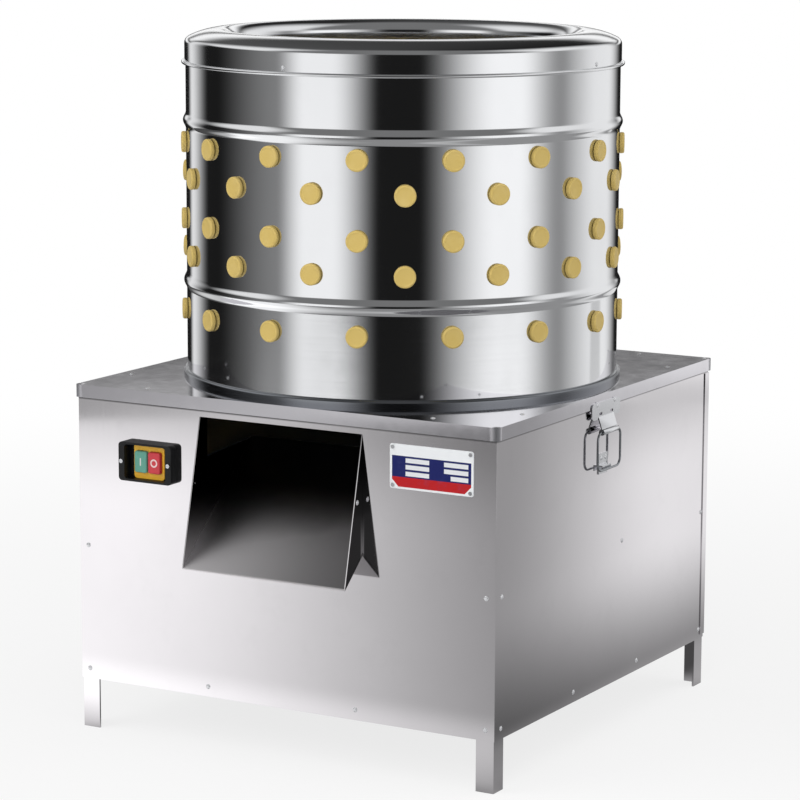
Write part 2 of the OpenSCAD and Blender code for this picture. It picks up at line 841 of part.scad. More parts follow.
// Ribbed motor body, plain at its rear end where the fan cover slips on
module motor_body() {
    ribs = 24;
    rib_low = motor_low + 12;
    pocket = 16;
    color(motor_blue) placed() translate([0, motor_y, 0]) difference() {
        union() {
            translate([0, 0, motor_low]) cylinder(r = motor_r, h = motor_len);
            for (a = [0 : 360 / ribs : 359])
                rotate(a) translate([0, -1.25, rib_low])
                    cube([motor_r + motor_rib_h, 2.5, motor_top - rib_low - 4]);
            translate([0, -24, motor_low + 44]) cube([motor_r + motor_rib_h + 2, 48, 60]);
        }
        translate([0, 0, motor_low - 1]) cylinder(r = motor_shaft_r + run, h = motor_len + 2);
        translate([0, -motor_y, 0]) for (p = motor_bolts)
            translate([p[0], p[1], motor_top - pocket]) cylinder(r = 2.2 * bolt_r, h = pocket + 1);
    }
}

module terminal_box() {
    x0 = motor_r + motor_rib_h + 2;
    low = motor_low + 40;
    color(black) placed() translate([x0, motor_y, low]) difference() {
        translate([0, -28, 0]) cube([34, 56, 68]);
        for (sy = [-1, 1])
            translate([33, sy * 28, -1]) rotate(45) centred_box([4, 4, 70], 0);
        translate([17, 0, -1]) cylinder(r = 8, h = 6);
    }
}

module motor_shaft() {
    shaft_low = fan_low + 8;
    color(dark_steel) placed() translate([0, motor_y, shaft_low])
        cylinder(r = motor_shaft_r, h = belt_z + pulley_h / 2 + 6 - shaft_low);
}

module motor_fan() {
    fan_h = 18;
    color(black) placed() translate([0, motor_y, fan_low + 10]) difference() {
        union() {
            cylinder(r = motor_shaft_r + 6, h = fan_h);
            translate([0, 0, fan_h - 3]) cylinder(r = motor_r - 10, h = 3);
            for (a = [0:45:315])
                rotate(a) translate([motor_shaft_r + 3, -1, 0])
                    cube([motor_r - 16 - motor_shaft_r, 2, fan_h - 1]);
        }
        translate([0, 0, -1]) cylinder(r = motor_shaft_r + seat, h = fan_h + 2);
    }
}

// Cup over the fan with radial slots in its end
module fan_cover() {
    wall = 1.5;
    lap = 9;
    color(motor_blue) placed() translate([0, motor_y, fan_low]) difference() {
        cylinder(r = motor_r + seat + wall, h = fan_space + lap);
        translate([0, 0, wall]) cylinder(r = motor_r + seat, h = fan_space + lap);
        for (a = [0:30:330])
            rotate(a) translate([18, -2.5, -1]) cube([36, 5, wall + 2]);
    }
}

// Square lid with a turned-down lip and the drum's opening
module lid() {
    color(steel) placed() difference() {
        translate([0, 0, lid_top - lid_lip]) linear_extrude(lid_lip)
            round_square(2 * lid_half, 2 * lid_half, lid_corner_r);
        translate([0, 0, lid_top - lid_lip - 1]) linear_extrude(lid_lip - lid_t + 1)
            round_square(2 * (lid_half - lid_t), 2 * (lid_half - lid_t), lid_corner_r - lid_t);
        translate([0, 0, lid_under - 1]) cylinder(r = drum_in, h = lid_t + 2, $fn = 128);
        lid_rivet_sites() rivet_bore();
        latch_rivet_sites() rivet_bore();
    }
}

module lid_rivet_sites() {
    for (turn = [0:90:270])
        for (s = [-1, 1])
            rotate(turn) translate([lid_rivet_at, s * lid_rivet_side, lid_top]) children();
}

module latch_rivet_sites() {
    for (s = [-1, 1])
        for (v = [-1, 1])
            translate([s * (lid_half + latch_t), latch_y + v * latch_rivet_v, latch_rivet_z])
                rotate([0, s * 90, 0]) children();
}

// Angle frame under the lid that drops inside the legs and centres the lid
module lid_frame() {
    out = lid_half - lid_t - 6;
    web = inner - leg_w - 3;
    hollow = web - lid_frame_t;
    color(steel) placed() difference() {
        union() {
            centred_box([2 * out, 2 * out, lid_frame_t], frame_under);
            centred_box([2 * web, 2 * web, lid_frame_h], lid_under - lid_frame_h);
        }
        centred_box([2 * hollow, 2 * hollow, lid_frame_h + 2], lid_under - lid_frame_h - 1);
        translate([0, 0, lid_under - lid_frame_h - 1])
            cylinder(r = drum_in + 1, h = lid_frame_h + 2, $fn = 128);
        lid_rivet_sites() rivet_bore();
    }
}

// Solid of revolution inside the drum's outer or inner face, beads and all
module drum_section(face_r, bead_r) {
    bead_centre = drum_r + bead_out - (bead_half * bead_half + bead_out * bead_out) / (2 * bead_out);
    translate([drum_r / 2, lid_top]) square([face_r - drum_r / 2, drum_h]);
    for (h = bead_heights) translate([bead_centre, lid_top + h]) circle(bead_r);
}

// Directions of the fingers of a row: rows 2 and 4 are half a step round from the others
function row_turn(row) = finger_turn + (row % 2 == 0 ? 180 / fingers_per_row : 0);

module row_sites(row) {
    for (i = [0 : fingers_per_row - 1])
        rotate(row_turn(row) + 360 / fingers_per_row * i) translate([drum_r, 0, lid_top + row_heights[row]])
            rotate([0, -90, 0]) children();
}

// Drum wall: a rolled sheet with two swaged beads and five rows of finger holes
module drum() {
    bead_r = (bead_half * bead_half + bead_out * bead_out) / (2 * bead_out);
    color(steel) placed() difference() {
        rotate_extrude($fn = 128) difference() {
            drum_section(drum_r, bead_r);
            translate([0, -0.01]) drum_section(drum_in, bead_r - drum_t);
            translate([0, lid_top - 1]) square([drum_in, drum_h + 2]);
        }
        for (row = [0 : len(row_heights) - 1])
            row_sites(row) translate([0, 0, -5]) cylinder(r = finger_hole_r, h = 12);
    }
}

// Half-round foot ring welded round the drum on the lid
module drum_base_ring() {
    color(steel) placed() rotate_extrude($fn = 128) difference() {
        union() {
            translate([drum_r, lid_top + foot_bead_r]) circle(foot_bead_r);
            translate([drum_r, lid_top]) square([foot_bead_r, foot_bead_r]);
        }
        translate([0, lid_top - 1]) square([drum_r + seat, 3 * foot_bead_r]);
    }
}

// Spun ring on top: skirt with a rolled edge, domed shoulder, mouth rolled inwards
module cap_ring() {
    skirt_in = drum_r + seat;
    skirt_out = skirt_in + cap_t;
    dome_z = cap_top - shoulder_r;
    skirt_turn = acos((skirt_out - crest_r) / shoulder_r);
    skirt_top = dome_z + shoulder_r * sin(skirt_turn);
    neck_low = cap_top - mouth_roll_r - mouth_neck;
    color(steel) placed() difference() {
        rotate_extrude($fn = 128) {
            translate([skirt_in, lid_top + skirt_low]) square([cap_t, skirt_top - lid_top - skirt_low - 0.4]);
            translate([crest_r, dome_z]) band(shoulder_r, cap_t, skirt_turn, 90);
            translate([crest_r, cap_top - mouth_roll_r]) band(mouth_roll_r, cap_t, 90, 180);
            translate([skirt_out + cap_edge_r - 0.4, lid_top + skirt_low]) circle(cap_edge_r);
            translate([mouth_r, neck_low]) square([cap_t, mouth_neck + 0.2]);
            translate([mouth_r + cap_edge_r, neck_low]) circle(cap_edge_r);
        }
        cap_screw_sites() rivet_bore();
    }
}

module cap_screw_sites() {
    for (turn = cap_screw_turns)
        rotate(turn) translate([drum_r + seat + cap_t, 0, cap_screw_z]) rotate([0, 90, 0]) children();
}

module cap_screws() {
    color(steel) placed() cap_screw_sites() rivet(cap_t);
}

module finger_row(row) {
    color(rubber_yellow) placed() row_sites(row) translate([0, 0, -seat])
        finger(drum_t + seat + finger_collar_r * finger_collar_r / (2 * drum_in) + seat);
}

module finger_row_1() {
    finger_row(0);
}

module finger_row_2() {
    finger_row(1);
}

module finger_row_3() {
    finger_row(2);
}

module finger_row_4() {
    finger_row(3);
}

module finger_row_5() {
    finger_row(4);
}

module lid_rivets() {
    color(steel) placed() {
        lid_rivet_sites() rivet(lid_t + lid_frame_t);
        latch_rivet_sites() rivet(latch_t + lid_t);
    }
}

module cabinet_rivets() {
    color(steel) placed() {
        front_sites(front_rivets) rivet(panel_t + leg_t);
        side_sites(side_rivets) rivet(panel_t + rail_t);
        cheek_sites() rivet(chute_t);
        keeper_rivet_sites() rivet(latch_t + panel_t);
    }
}

module back_screws() {
    color(steel) placed() back_sites(back_screw_sites) {
        translate([0, 0, -panel_t - leg_t - 2]) cylinder(r = rivet_r, h = panel_t + leg_t + 3);
        difference() {
            cylinder(r = rivet_head_r, h = 2.4);
            translate([0, 0, 1.4]) centred_box([2 * rivet_head_r + 1, 1, 2], 0);
        }
    }
}

// Black box with a deep recess for the push buttons and a body behind the panel
module switch_box() {
    color(black) placed() translate([switch_x, 0, switch_z]) difference() {
        union() {
            towards_front(-half, switch_d) round_square(switch_w, switch_h, 5);
            towards_front(-half + switch_back, switch_back + 1) round_square(body_w, body_h, 4);
        }
        towards_front(switch_face + switch_recess, switch_recess + 1) round_square(recess_w, recess_h, 4);
        for (s = [-1, 1]) translate([s * button_pitch / 2, 0, 0])
            towards_front(switch_face + switch_recess + button_travel + 2, button_travel + 3)
                round_square(button_w + 2 * free, button_h + 2 * free, 3);
        for (s = [-1, 1]) translate([s * (switch_w - switch_rim) / 2, switch_face - 1, 0])
            rotate([-90, 0, 0]) cylinder(r = 1.5 + seat, h = 11);
    }
}

// Frame round the buttons at the bottom of the recess
module switch_bezel() {
    color(yellow) placed() translate([switch_x, 0, switch_z]) difference() {
        towards_front(switch_face + switch_recess, bezel_t) round_square(bezel_w, bezel_h, 4);
        for (s = [-1, 1]) translate([s * button_pitch / 2, 0, 0])
            towards_front(switch_face + switch_recess + 1, bezel_t + 2)
                round_square(button_w + 2 * free, button_h + 2 * free, 3);
    }
}

// Push button that stands out of the bezel and runs in the box
module push_button(side, tint) {
    root = 1.5;
    depth = root + bezel_t + button_out;
    color(tint) placed() translate([switch_x + side * button_pitch / 2, 0, switch_z]) {
        towards_front(switch_face + switch_recess + root, depth) round_square(button_w, button_h, 2.6);
    }
}

module start_button() {
    push_button(-1, [0.20, 0.55, 0.45]);
}

module stop_button() {
    push_button(1, [0.78, 0.10, 0.10]);
}

module switch_screws() {
    color(steel) placed() for (s = [-1, 1])
        translate([switch_x + s * (switch_w - switch_rim) / 2, switch_face, switch_z]) rotate([90, 0, 0]) {
            translate([0, 0, -9]) cylinder(r = 1.5, h = 9.5);
            difference() {
                cylinder(r = 2.6, h = 1.4);
                translate([0, 0, 0.8]) centred_box([6, 0.7, 2], 0);
            }
        }
}

module nameplate() {
    color([0.90, 0.91, 0.92]) placed() difference() {
        translate([nameplate_x, 0, nameplate_z]) towards_front(-half, nameplate_t)
            round_square(nameplate_w, nameplate_h, 3);
        front_sites(nameplate_rivet_sites) rivet_bore();
    }
}

module nameplate_rivets() {
    color(steel) placed() translate([0, -nameplate_t, 0]) front_sites(nameplate_rivet_sites) {
        translate([0, 0, -panel_t - nameplate_t - 1]) cylinder(r = rivet_r, h = panel_t + nameplate_t + 1.5);
        cylinder(r = rivet_r + 0.8, h = 1);
    }
}

// A latch is drawn on the right side and mirrored for the left
module on_side(s) {
    placed() mirror([s < 0 ? 1 : 0, 0, 0]) translate([half, latch_y, 0]) children();
}

// Plate riveted to the lid's lip: flat top, flared foot and a knuckle for the bail
module latch_plate(s) {
    flare_len = (latch_low - bail_z) / cos(latch_slope);
    color(steel) difference() {
        on_side(s) difference() {
            union() {
                translate([lid_over, 0, (latch_top + latch_low) / 2]) rotate([90, 0, 90])
                    linear_extrude(latch_t) round_square(latch_w, latch_top - latch_low, 6);
                translate([lid_over, -knuckle_half, latch_low + 3]) rotate([0, -latch_slope, 0])
                    translate([0, 0, -flare_len - 3]) cube([latch_t, 2 * knuckle_half, flare_len + 3]);
                translate([bail_out, -knuckle_half, bail_z]) rotate([-90, 0, 0])
                    cylinder(r = knuckle_r, h = 2 * knuckle_half);
            }
            translate([bail_out, -knuckle_half - 1, bail_z]) rotate([-90, 0, 0])
                cylinder(r = bail_wire_r + run, h = 2 * knuckle_half + 2);
            for (v = [-1, 1])
                translate([lid_over - 1, v * 15 - 4, latch_low + 5]) cube([latch_t + 2, 8, 3]);
        }
        placed() latch_rivet_sites() rivet_bore();
    }
}

// Closed loop of round wire hung in the knuckle
module latch_bail(s) {
    bend = bail_bend;
    side = bail_w / 2;
    color(dark_steel) on_side(s) translate([bail_out, 0, bail_z]) {
        for (z = [0, -bail_drop])
            translate([0, -side + bend, z]) rotate([-90, 0, 0])
                cylinder(r = bail_wire_r, h = bail_w - 2 * bend);
        for (v = [-side, side])
            translate([0, v, -bail_drop + bend]) cylinder(r = bail_wire_r, h = bail_drop - 2 * bend);
        for (corner = [[1, 1, 0], [-1, 1, 90], [-1, -1, 180], [1, -1, 270]])
            translate([0, corner[0] * (side - bend), corner[1] > 0 ? -bend : bend - bail_drop])
                rotate([90, 0, 90]) rotate(corner[2]) rotate_extrude(angle = 90)
                    translate([bend, 0]) circle(bail_wire_r);
    }
}

// Hook on the side panel that the bail snaps under
module latch_keeper(s) {
    hook_out = bail_out - bail_wire_r - 1.1;
    hook_z = keeper_z + bail_wire_r;
    half_w = 12;
    plate_high = hook_z + 16;
    color(steel) difference() {
        on_side(s) {
            translate([0, -half_w, hook_z - 10]) cube([latch_t, 2 * half_w, plate_high - hook_z + 10]);
            translate([0, -half_w, hook_z]) cube([hook_out, 2 * half_w, latch_t]);
            translate([hook_out - latch_t, -half_w, hook_z - 6]) cube([latch_t, 2 * half_w, 6 + latch_t]);
        }
        placed() keeper_rivet_sites() rivet_bore();
    }
}

module keeper_rivet_sites() {
    for (s = [-1, 1])
        for (v = [-1, 1])
            translate([s * (half + latch_t), latch_y + v * 6, keeper_z + bail_wire_r + 10])
                rotate([0, s * 90, 0]) children();
}

module keeper_bores() {
    keeper_rivet_sites() rivet_bore();
}

module latch_plate_right() {
    latch_plate(1);
}

module latch_bail_right() {
    latch_bail(1);
}

module latch_keeper_right() {
    latch_keeper(1);
}

module latch_plate_left() {
    latch_plate(-1);
}

module latch_bail_left() {
    latch_bail(-1);
}

module latch_keeper_left() {
    latch_keeper(-1);
}

// Gland in the back cover where a supply cable would enter
module cable_gland() {
    color(black) placed() translate([gland_x, half, gland_z]) rotate([-90, 0, 0]) difference() {
        union() {
            translate([0, 0, -panel_t - 8]) cylinder(r = gland_bore_r + 3, h = panel_t + 8 + gland_out);
            cylinder(r = gland_bore_r + 6, h = 5, $fn = 6);
            translate([0, 0, -panel_t - 5]) cylinder(r = gland_bore_r + 6, h = 5, $fn = 6);
        }
        translate([0, 0, -panel_t - 9]) cylinder(r = gland_bore_r, h = panel_t + 10 + gland_out);
    }
}

// Identical bolts of the mounting plate, the housing and the motor
module frame_bolts() {
    color(steel) placed() {
        for (p = plate_bolts) translate([p[0], p[1], plate_top]) frame_bolt(plate_t + rail_t);
        for (p = housing_bolts) translate([p[0], p[1], housing_top]) frame_bolt(housing_flange_h + plate_t);
        for (p = motor_bolts) translate([p[0], p[1], plate_top]) frame_bolt(plate_t + motor_flange_h);
    }
}

leg_front_left();
leg_front_right();
leg_back_left();
leg_back_right();
front_panel();
left_panel();
right_panel();
back_cover();
base_frame();
rear_rail();
beam_front();
beam_rear();
mounting_plate();
feather_pan();
feather_chute();
spindle_housing();
spindle_bearings();
spindle_shaft();
driven_pulley();
hub();
hub_bolts();
turntable();
turntable_fingers();
v_belt();
motor_pulley();
motor_shaft();
motor_body();
motor_flange();
motor_fan();
fan_cover();
terminal_box();
lid();
lid_frame();
drum();
drum_base_ring();
cap_ring();
finger_row_1();
finger_row_2();
finger_row_3();
finger_row_4();
finger_row_5();
cap_screws();
lid_rivets();
cabinet_rivets();
back_screws();
switch_box();
switch_bezel();
start_button();
stop_button();
switch_screws();
nameplate();
nameplate_rivets();
latch_plate_right();
latch_bail_right();
latch_keeper_right();
latch_plate_left();
latch_bail_left();
latch_keeper_left();
cable_gland();
frame_bolts();
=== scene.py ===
"""Looks of a drum poultry plucker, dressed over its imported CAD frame."""

import logging
import math
from dataclasses import dataclass, field
from enum import Enum
from typing import Any, Mapping, Sequence

import bmesh
import bpy
from mathutils import Matrix, Vector


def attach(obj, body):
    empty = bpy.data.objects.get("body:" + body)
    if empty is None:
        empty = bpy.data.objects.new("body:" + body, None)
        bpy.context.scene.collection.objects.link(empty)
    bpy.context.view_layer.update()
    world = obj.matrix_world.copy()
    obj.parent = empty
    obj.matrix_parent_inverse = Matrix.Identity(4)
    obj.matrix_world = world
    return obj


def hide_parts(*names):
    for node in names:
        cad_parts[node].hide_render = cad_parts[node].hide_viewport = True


LOG = logging.getLogger("plucker")
MM = 0.001
AXIS_Y = 16.0
MERGE_DIST = 2e-6
LEVEL_ANGLE = 0.4
SHARP_ANGLE = 28.0
SHEET_AREA = 8e-4
Pair = tuple[float, float]
Triple = tuple[float, float, float]
Colour = tuple[float, float, float, float]
Given = Mapping[Any, Any] | None
Material = bpy.types.Material
Mesh = bpy.types.Mesh
Piece = bpy.types.Object

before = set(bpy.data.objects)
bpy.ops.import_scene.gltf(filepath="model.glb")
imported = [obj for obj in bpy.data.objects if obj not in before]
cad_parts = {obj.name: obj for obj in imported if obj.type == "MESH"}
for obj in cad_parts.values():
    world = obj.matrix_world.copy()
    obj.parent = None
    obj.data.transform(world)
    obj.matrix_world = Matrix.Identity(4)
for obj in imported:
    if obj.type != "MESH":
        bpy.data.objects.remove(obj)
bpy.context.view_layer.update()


def tint(code: str) -> Colour:
    """Turn a six-digit screen colour into a linear one.

    Args:
        code: red, green and blue as hexadecimal digits.

    Returns:
        The linear colour with full alpha.
    """
    parts = [int(code[i : i + 2], 16) / 255 for i in (0, 2, 4)]
    lin = [p / 12.92 if p <= 0.04045 else ((p + 0.055) / 1.055) ** 2.4 for p in parts]
    return (lin[0], lin[1], lin[2], 1.0)


def grey(level: float) -> Colour:
    """A linear grey with full alpha."""
    return (level, level, level, 1.0)


class Wire:
    """A shader value that Python's operators work on."""

    def __init__(self, graph: "Graph", socket: bpy.types.NodeSocket) -> None:
        """Keep the graph and the socket that the value comes from."""
        self.graph = graph
        self.socket = socket

    def _math(self, operation: str, *values: Any) -> "Wire":
        """Add one Math node and return its result."""
        return self.graph.wire("ShaderNodeMath", {"operation": operation}, dict(enumerate(values)))

    def __add__(self, other: Any) -> "Wire":
        """Sum."""
        return self._math("ADD", self, other)

    __radd__ = __add__

    def __sub__(self, other: Any) -> "Wire":
        """Difference."""
        return self._math("SUBTRACT", self, other)

    def __rsub__(self, other: Any) -> "Wire":
        """Difference from a plain number."""
        return self._math("SUBTRACT", other, self)

    def __mul__(self, other: Any) -> "Wire":
        """Product."""
        return self._math("MULTIPLY", self, other)

    __rmul__ = __mul__

    def __neg__(self) -> "Wire":
        """The value with its sign turned."""
        return 0.0 - self

    def __abs__(self) -> "Wire":
        """Distance from zero."""
        return self._math("ABSOLUTE", self)

    def most(self, other: Any) -> "Wire":
        """The larger of two values."""
        return self._math("MAXIMUM", self, other)

    def call(self, operation: str, *more: Any) -> "Wire":
        """Any other Math operation on this value."""
        return self._math(operation, self, *more)

    def ease(self, low: float, high: float) -> "Wire":
        """Smooth step that goes from 0 at low to 1 at high."""
        given = {"Value": self, "From Min": low, "From Max": high}
        return self.graph.wire("ShaderNodeMapRange", {"interpolation_type": "SMOOTHSTEP"}, given)

    def fall(self, low: float, high: float) -> "Wire":
        """Smooth step that goes from 1 at low to 0 at high."""
        return 1.0 - self.ease(low, high)

    def dimmed(self, share: "Wire") -> "Wire":
        """The value with a share from 0 to 1 taken away."""
        return self * (1.0 - share)


class Graph:
    """A node tree that is filled by name."""

    def __init__(self, tree: bpy.types.NodeTree) -> None:
        """Wrap a tree, emptied."""
        self.tree = tree
        tree.nodes.clear()

    def node(self, kind: str, settings: Given = None, sockets: Given = None) -> bpy.types.Node:
        """Add a node.

        Args:
            kind: the node's type.
            settings: its properties, set first.
            sockets: values or links, by identifier, name or number.

        Returns:
            The new node.
        """
        made = self.tree.nodes.new(kind)
        for key, value in (settings or {}).items():
            setattr(made, key, value)
        for key, value in (sockets or {}).items():
            self._feed(self._socket(made, key), value)
        return made

    def wire(self, kind: str, settings: Given = None, sockets: Given = None, out: Any = 0) -> Wire:
        """Add a node and return one of its outputs."""
        return Wire(self, self.node(kind, settings, sockets).outputs[out])

    def _socket(self, made: bpy.types.Node, key: Any) -> bpy.types.NodeSocket:
        """Find an input by number, identifier or name.

        Args:
            made: the node.
            key: number, identifier or name of the input.

        Returns:
            The input.
        """
        if isinstance(key, int):
            return made.inputs[key]
        named = [socket for socket in made.inputs if socket.identifier == key]
        return named[0] if named else made.inputs[key]

    def _feed(self, socket: bpy.types.NodeSocket, value: Any) -> None:
        """Link or set one input.

        Args:
            socket: the input.
            value: a wire, a socket, a node for its first output, or a plain value.
        """
        if isinstance(value, Wire):
            value = value.socket
        elif isinstance(value, bpy.types.Node):
            value = value.outputs[0]
        if isinstance(value, bpy.types.NodeSocket):
            self.tree.links.new(value, socket)
        else:
            socket.default_value = value

    def blend(self, share: Any, a: Any, b: Any) -> Wire:
        """Mix two colours by a share from 0 to 1.

        Args:
            share: 0 for the first colour, 1 for the second.
            a: the first colour.
            b: the second colour.

        Returns:
            The mix.
        """
        given = {"Factor_Float": share, "A_Color": a, "B_Color": b}
        made = self.node("ShaderNodeMix", {"data_type": "RGBA"}, given)
        return Wire(self, [s for s in made.outputs if s.identifier == "Result_Color"][0])

    def noise(self, where: Wire, scale: float, detail: float = 2.0, rough: float = 0.5) -> Wire:
        """Cloud noise from 0 to 1."""
        given = {"Vector": where, "Scale": scale, "Detail": detail, "Roughness": rough}
        return self.wire("ShaderNodeTexNoise", {}, given)

    def place(self) -> Wire:
        """Object coordinates in metres."""
        return self.wire("ShaderNodeTexCoord", {}, {}, "Object")

    def split(self, where: Wire) -> tuple[Wire, ...]:
        """The three parts of a vector."""
        made = self.node("ShaderNodeSeparateXYZ", {}, {"Vector": where})
        return tuple(Wire(self, part) for part in made.outputs)


Look = tuple[Wire, Wire]


class Grain(Enum):
    """Which way the polishing lines of a sheet run."""

    AROUND = (3.0, 3.0, 420.0)
    UPRIGHT = (260.0, 260.0, 3.0)
    ACROSS = (4.0, 300.0, 300.0)
    PLAIN = (60.0, 60.0, 60.0)


@dataclass(frozen=True)
class Finish:
    """A surface finish: what every material has in common."""

    name: str
    colour: str
    rough: float

    def inputs(self, g: Graph, place: Wire) -> dict[str, Any]:
        """Inputs of the shader.

        Args:
            g: the material's graph.
            place: Object coordinates.

        Returns:
            Values and links by the names of the shader's inputs.
        """
        return {"Base Color": tint(self.colour), "Roughness": self.rough}

    def make(self) -> Material:
        """Build the material, which ends in one principled shader.

        Returns:
            The material.
        """
        material = bpy.data.materials.new(self.name)
        material.use_nodes = True
        g = Graph(material.node_tree)
        shader = g.node("ShaderNodeBsdfPrincipled", {}, self.inputs(g, g.place()))
        g.node("ShaderNodeOutputMaterial", {}, {"Surface": shader})
        return material

    def shifted(self, times: float, plus: float = 0.0) -> Colour:
        """The colour made darker or paler."""
        red, green, blue = (min(1.0, times * c + plus) for c in tint(self.colour)[:3])
        return (red, green, blue, 1.0)

    def spot(self, g: Graph, place: Wire, centre: Pair) -> tuple[Wire, Wire]:
        """Places across and up from a centre on a front face, in millimetres."""
        x, _, z = g.split(place)
        return (x - centre[0] * MM) * 1000.0, (z - centre[1] * MM) * 1000.0

    def bump(self, graph: Graph, height: Wire, depth: float) -> Wire:
        """A bump of a given depth in metres."""
        return graph.wire("ShaderNodeBump", {}, {"Height": height, "Distance": depth, "Strength": 1.0})


@dataclass(frozen=True)
class PolishedSteel(Finish):
    """Stainless sheet with polishing lines, hand marks and a slight sheet wave."""

    grain: Grain = Grain.PLAIN
    spread: float = 0.05
    lines: float = 0.04
    wave: float = 0.0
    metal: float = 1.0

    def wear(self, g: Graph, place: Wire, cloud: Wire, look: Look) -> Look:
        """Marks of one kind of sheet.

        Args:
            g: the material's graph.
            place: Object coordinates.
            cloud: slow noise.
            look: roughness and colour of the bare sheet.

        Returns:
            Roughness and colour with the marks on.
        """
        return look

    def inputs(self, g: Graph, place: Wire) -> dict[str, Any]:
        """Inputs of the shader.

        Args:
            g: the material's graph.
            place: Object coordinates.

        Returns:
            Values and links by the names of the shader's inputs.
        """
        cloud = g.noise(place, 4.0, 4.0, 0.6)
        drawn = g.wire("ShaderNodeMapping", {}, {"Vector": place, "Scale": self.grain.value})
        fine = g.noise(drawn, 1.0, 3.0, 0.55)
        marks = g.noise(place, 23.0, 5.0, 0.65).ease(0.52, 0.74)
        rough = (cloud - 0.5) * (2 * self.spread) + (fine - 0.5) * (2 * self.lines)
        rough = rough + marks * (0.5 * self.spread)
        dull = cloud.ease(0.35, 0.8) * 0.6 + marks * 0.25
        colour = g.blend(dull, tint(self.colour), self.shifted(0.93))
        rough, colour = self.wear(g, place, cloud, (rough, colour))
        sockets = {
            "Base Color": colour,
            "Metallic": self.metal,
            "Roughness": (rough + self.rough).most(0.03),
        }
        if self.wave:
            swell = g.noise(place, 3.2, 1.0, 0.4)
            sockets["Normal"] = self.bump(g, swell, self.wave * MM)
        return sockets


@dataclass(frozen=True)
class LidSteel(PolishedSteel):
    """Lid sheet whose welded corners are ground dull and darkened with painted shade."""

    half: float = 300.0
    weld: float = 12.0
    edge: float = 3.0

    def wear(self, g: Graph, place: Wire, cloud: Wire, look: Look) -> Look:
        """Dull the four corners and darken them with painted shade.

        Args:
            g: the material's graph.
            place: Object coordinates.
            cloud: slow noise.
            look: roughness and colour of the bare sheet.

        Returns:
            Roughness and colour with the marks on.
        """
        x, y, _ = g.split(place)
        near, far = (self.half - self.weld) * MM, (self.half - self.edge) * MM
        corner = abs(x).ease(near, far) * abs(y - AXIS_Y * MM).ease(near, far)
        # Rougher ground corners, their colour darkened as painted shade over their reflections
        return look[0] + corner * 0.62, g.blend(corner, look[1], tint("a9a9ad"))


@dataclass(frozen=True)
class PanelSteel(PolishedSteel):
    """Panel sheet with a dark line where the lid's lip ends: part dirt, part painted shadow of the lip."""

    lip_z: float = 426.0

    def wear(self, g: Graph, place: Wire, cloud: Wire, look: Look) -> Look:
        """Draw the dark line: dirt and painted shadow under the lip.

        Args:
            g: the material's graph.
            place: Object coordinates.
            cloud: slow noise.
            look: roughness and colour of the bare sheet.

        Returns:
            Roughness and colour with the marks on.
        """
        z = g.split(place)[2]
        low, high = (self.lip_z - 3.5) * MM, (self.lip_z + 0.5) * MM
        # Painted shadow of the lid's lip, with some dirt: a dark band along the lip's lower edge
        dirt_and_lip_shadow = z.ease(low, low + 2.3 * MM) * z.fall(high, high + 2.0 * MM)
        share = dirt_and_lip_shadow * (cloud.ease(0.3, 0.7) * 0.25 + 0.6)
        return look[0], g.blend(share, look[1], tint("2c2b2d"))


@dataclass(frozen=True)
class ChuteSteel(PolishedSteel):
    """Chute sheet: a scuffed floor, painted shade darkening the inside further in, the floor towards the
    right and the cheeks, and front edges left bright.
    """

    lip_y: float = -0.322
    lip_z: float = 0.235
    floor_rise: float = 0.8693
    edge_lean: float = 0.2216
    cheek_x: float = 0.1155
    panel_y: float = -0.284
    scuff: float = 0.27

    def wear(self, g: Graph, place: Wire, cloud: Wire, look: Look) -> Look:
        """Scuff the floor and darken the inside, the floor and the cheeks with painted shade.

        Args:
            g: the material's graph.
            place: Object coordinates.
            cloud: slow noise.
            look: roughness and colour of the bare sheet.

        Returns:
            Roughness and colour with the marks on.
        """
        x, y, z = g.split(place)
        deep, up = y - self.lip_y, z - self.lip_z
        floor = abs(up - deep * self.floor_rise).fall(0.002, 0.004)
        # Painted shade: darker higher up inside the chute, and on the floor towards the right
        painted_inner_shade = ((z + cloud * 0.03).ease(0.25, 0.345) * 0.97).most(floor * x.ease(-0.14, 0.14) * 0.72)
        outside = y.fall(self.panel_y - 0.002, self.panel_y + 0.002)
        # Painted shade on the cheeks in front of the panel
        cheek = abs(x).ease(self.cheek_x - 0.0003, self.cheek_x + 0.0003) * outside
        rim = (deep - up * self.edge_lean).ease(0.0005, 0.0012)
        # All the painted shade together, kept off the front edges
        dark = painted_inner_shade.most(cheek * 0.94) * rim
        return look[0] + floor * self.scuff, g.blend(dark, look[1], tint("0b0b0c"))


@dataclass(frozen=True)
class Rubber(Finish):
    """Moulded rubber with a fine bloom and dusty hollows."""

    bloom: str = "e2ca86"

    def inputs(self, g: Graph, place: Wire) -> dict[str, Any]:
        """Inputs of the shader.

        Args:
            g: the material's graph.
            place: Object coordinates.

        Returns:
            Values and links by the names of the shader's inputs.
        """
        cloud = g.noise(place, 38.0, 4.0, 0.6)
        speck = g.noise(place, 900.0)
        colour = g.blend(cloud.ease(0.4, 0.75) * 0.45, tint(self.colour), tint(self.bloom))
        return {
            "Base Color": colour,
            "Roughness": (cloud - 0.5) * 0.2 + self.rough,
            "Specular IOR Level": 0.4,
            "Normal": self.bump(g, speck, 0.12 * MM),
        }


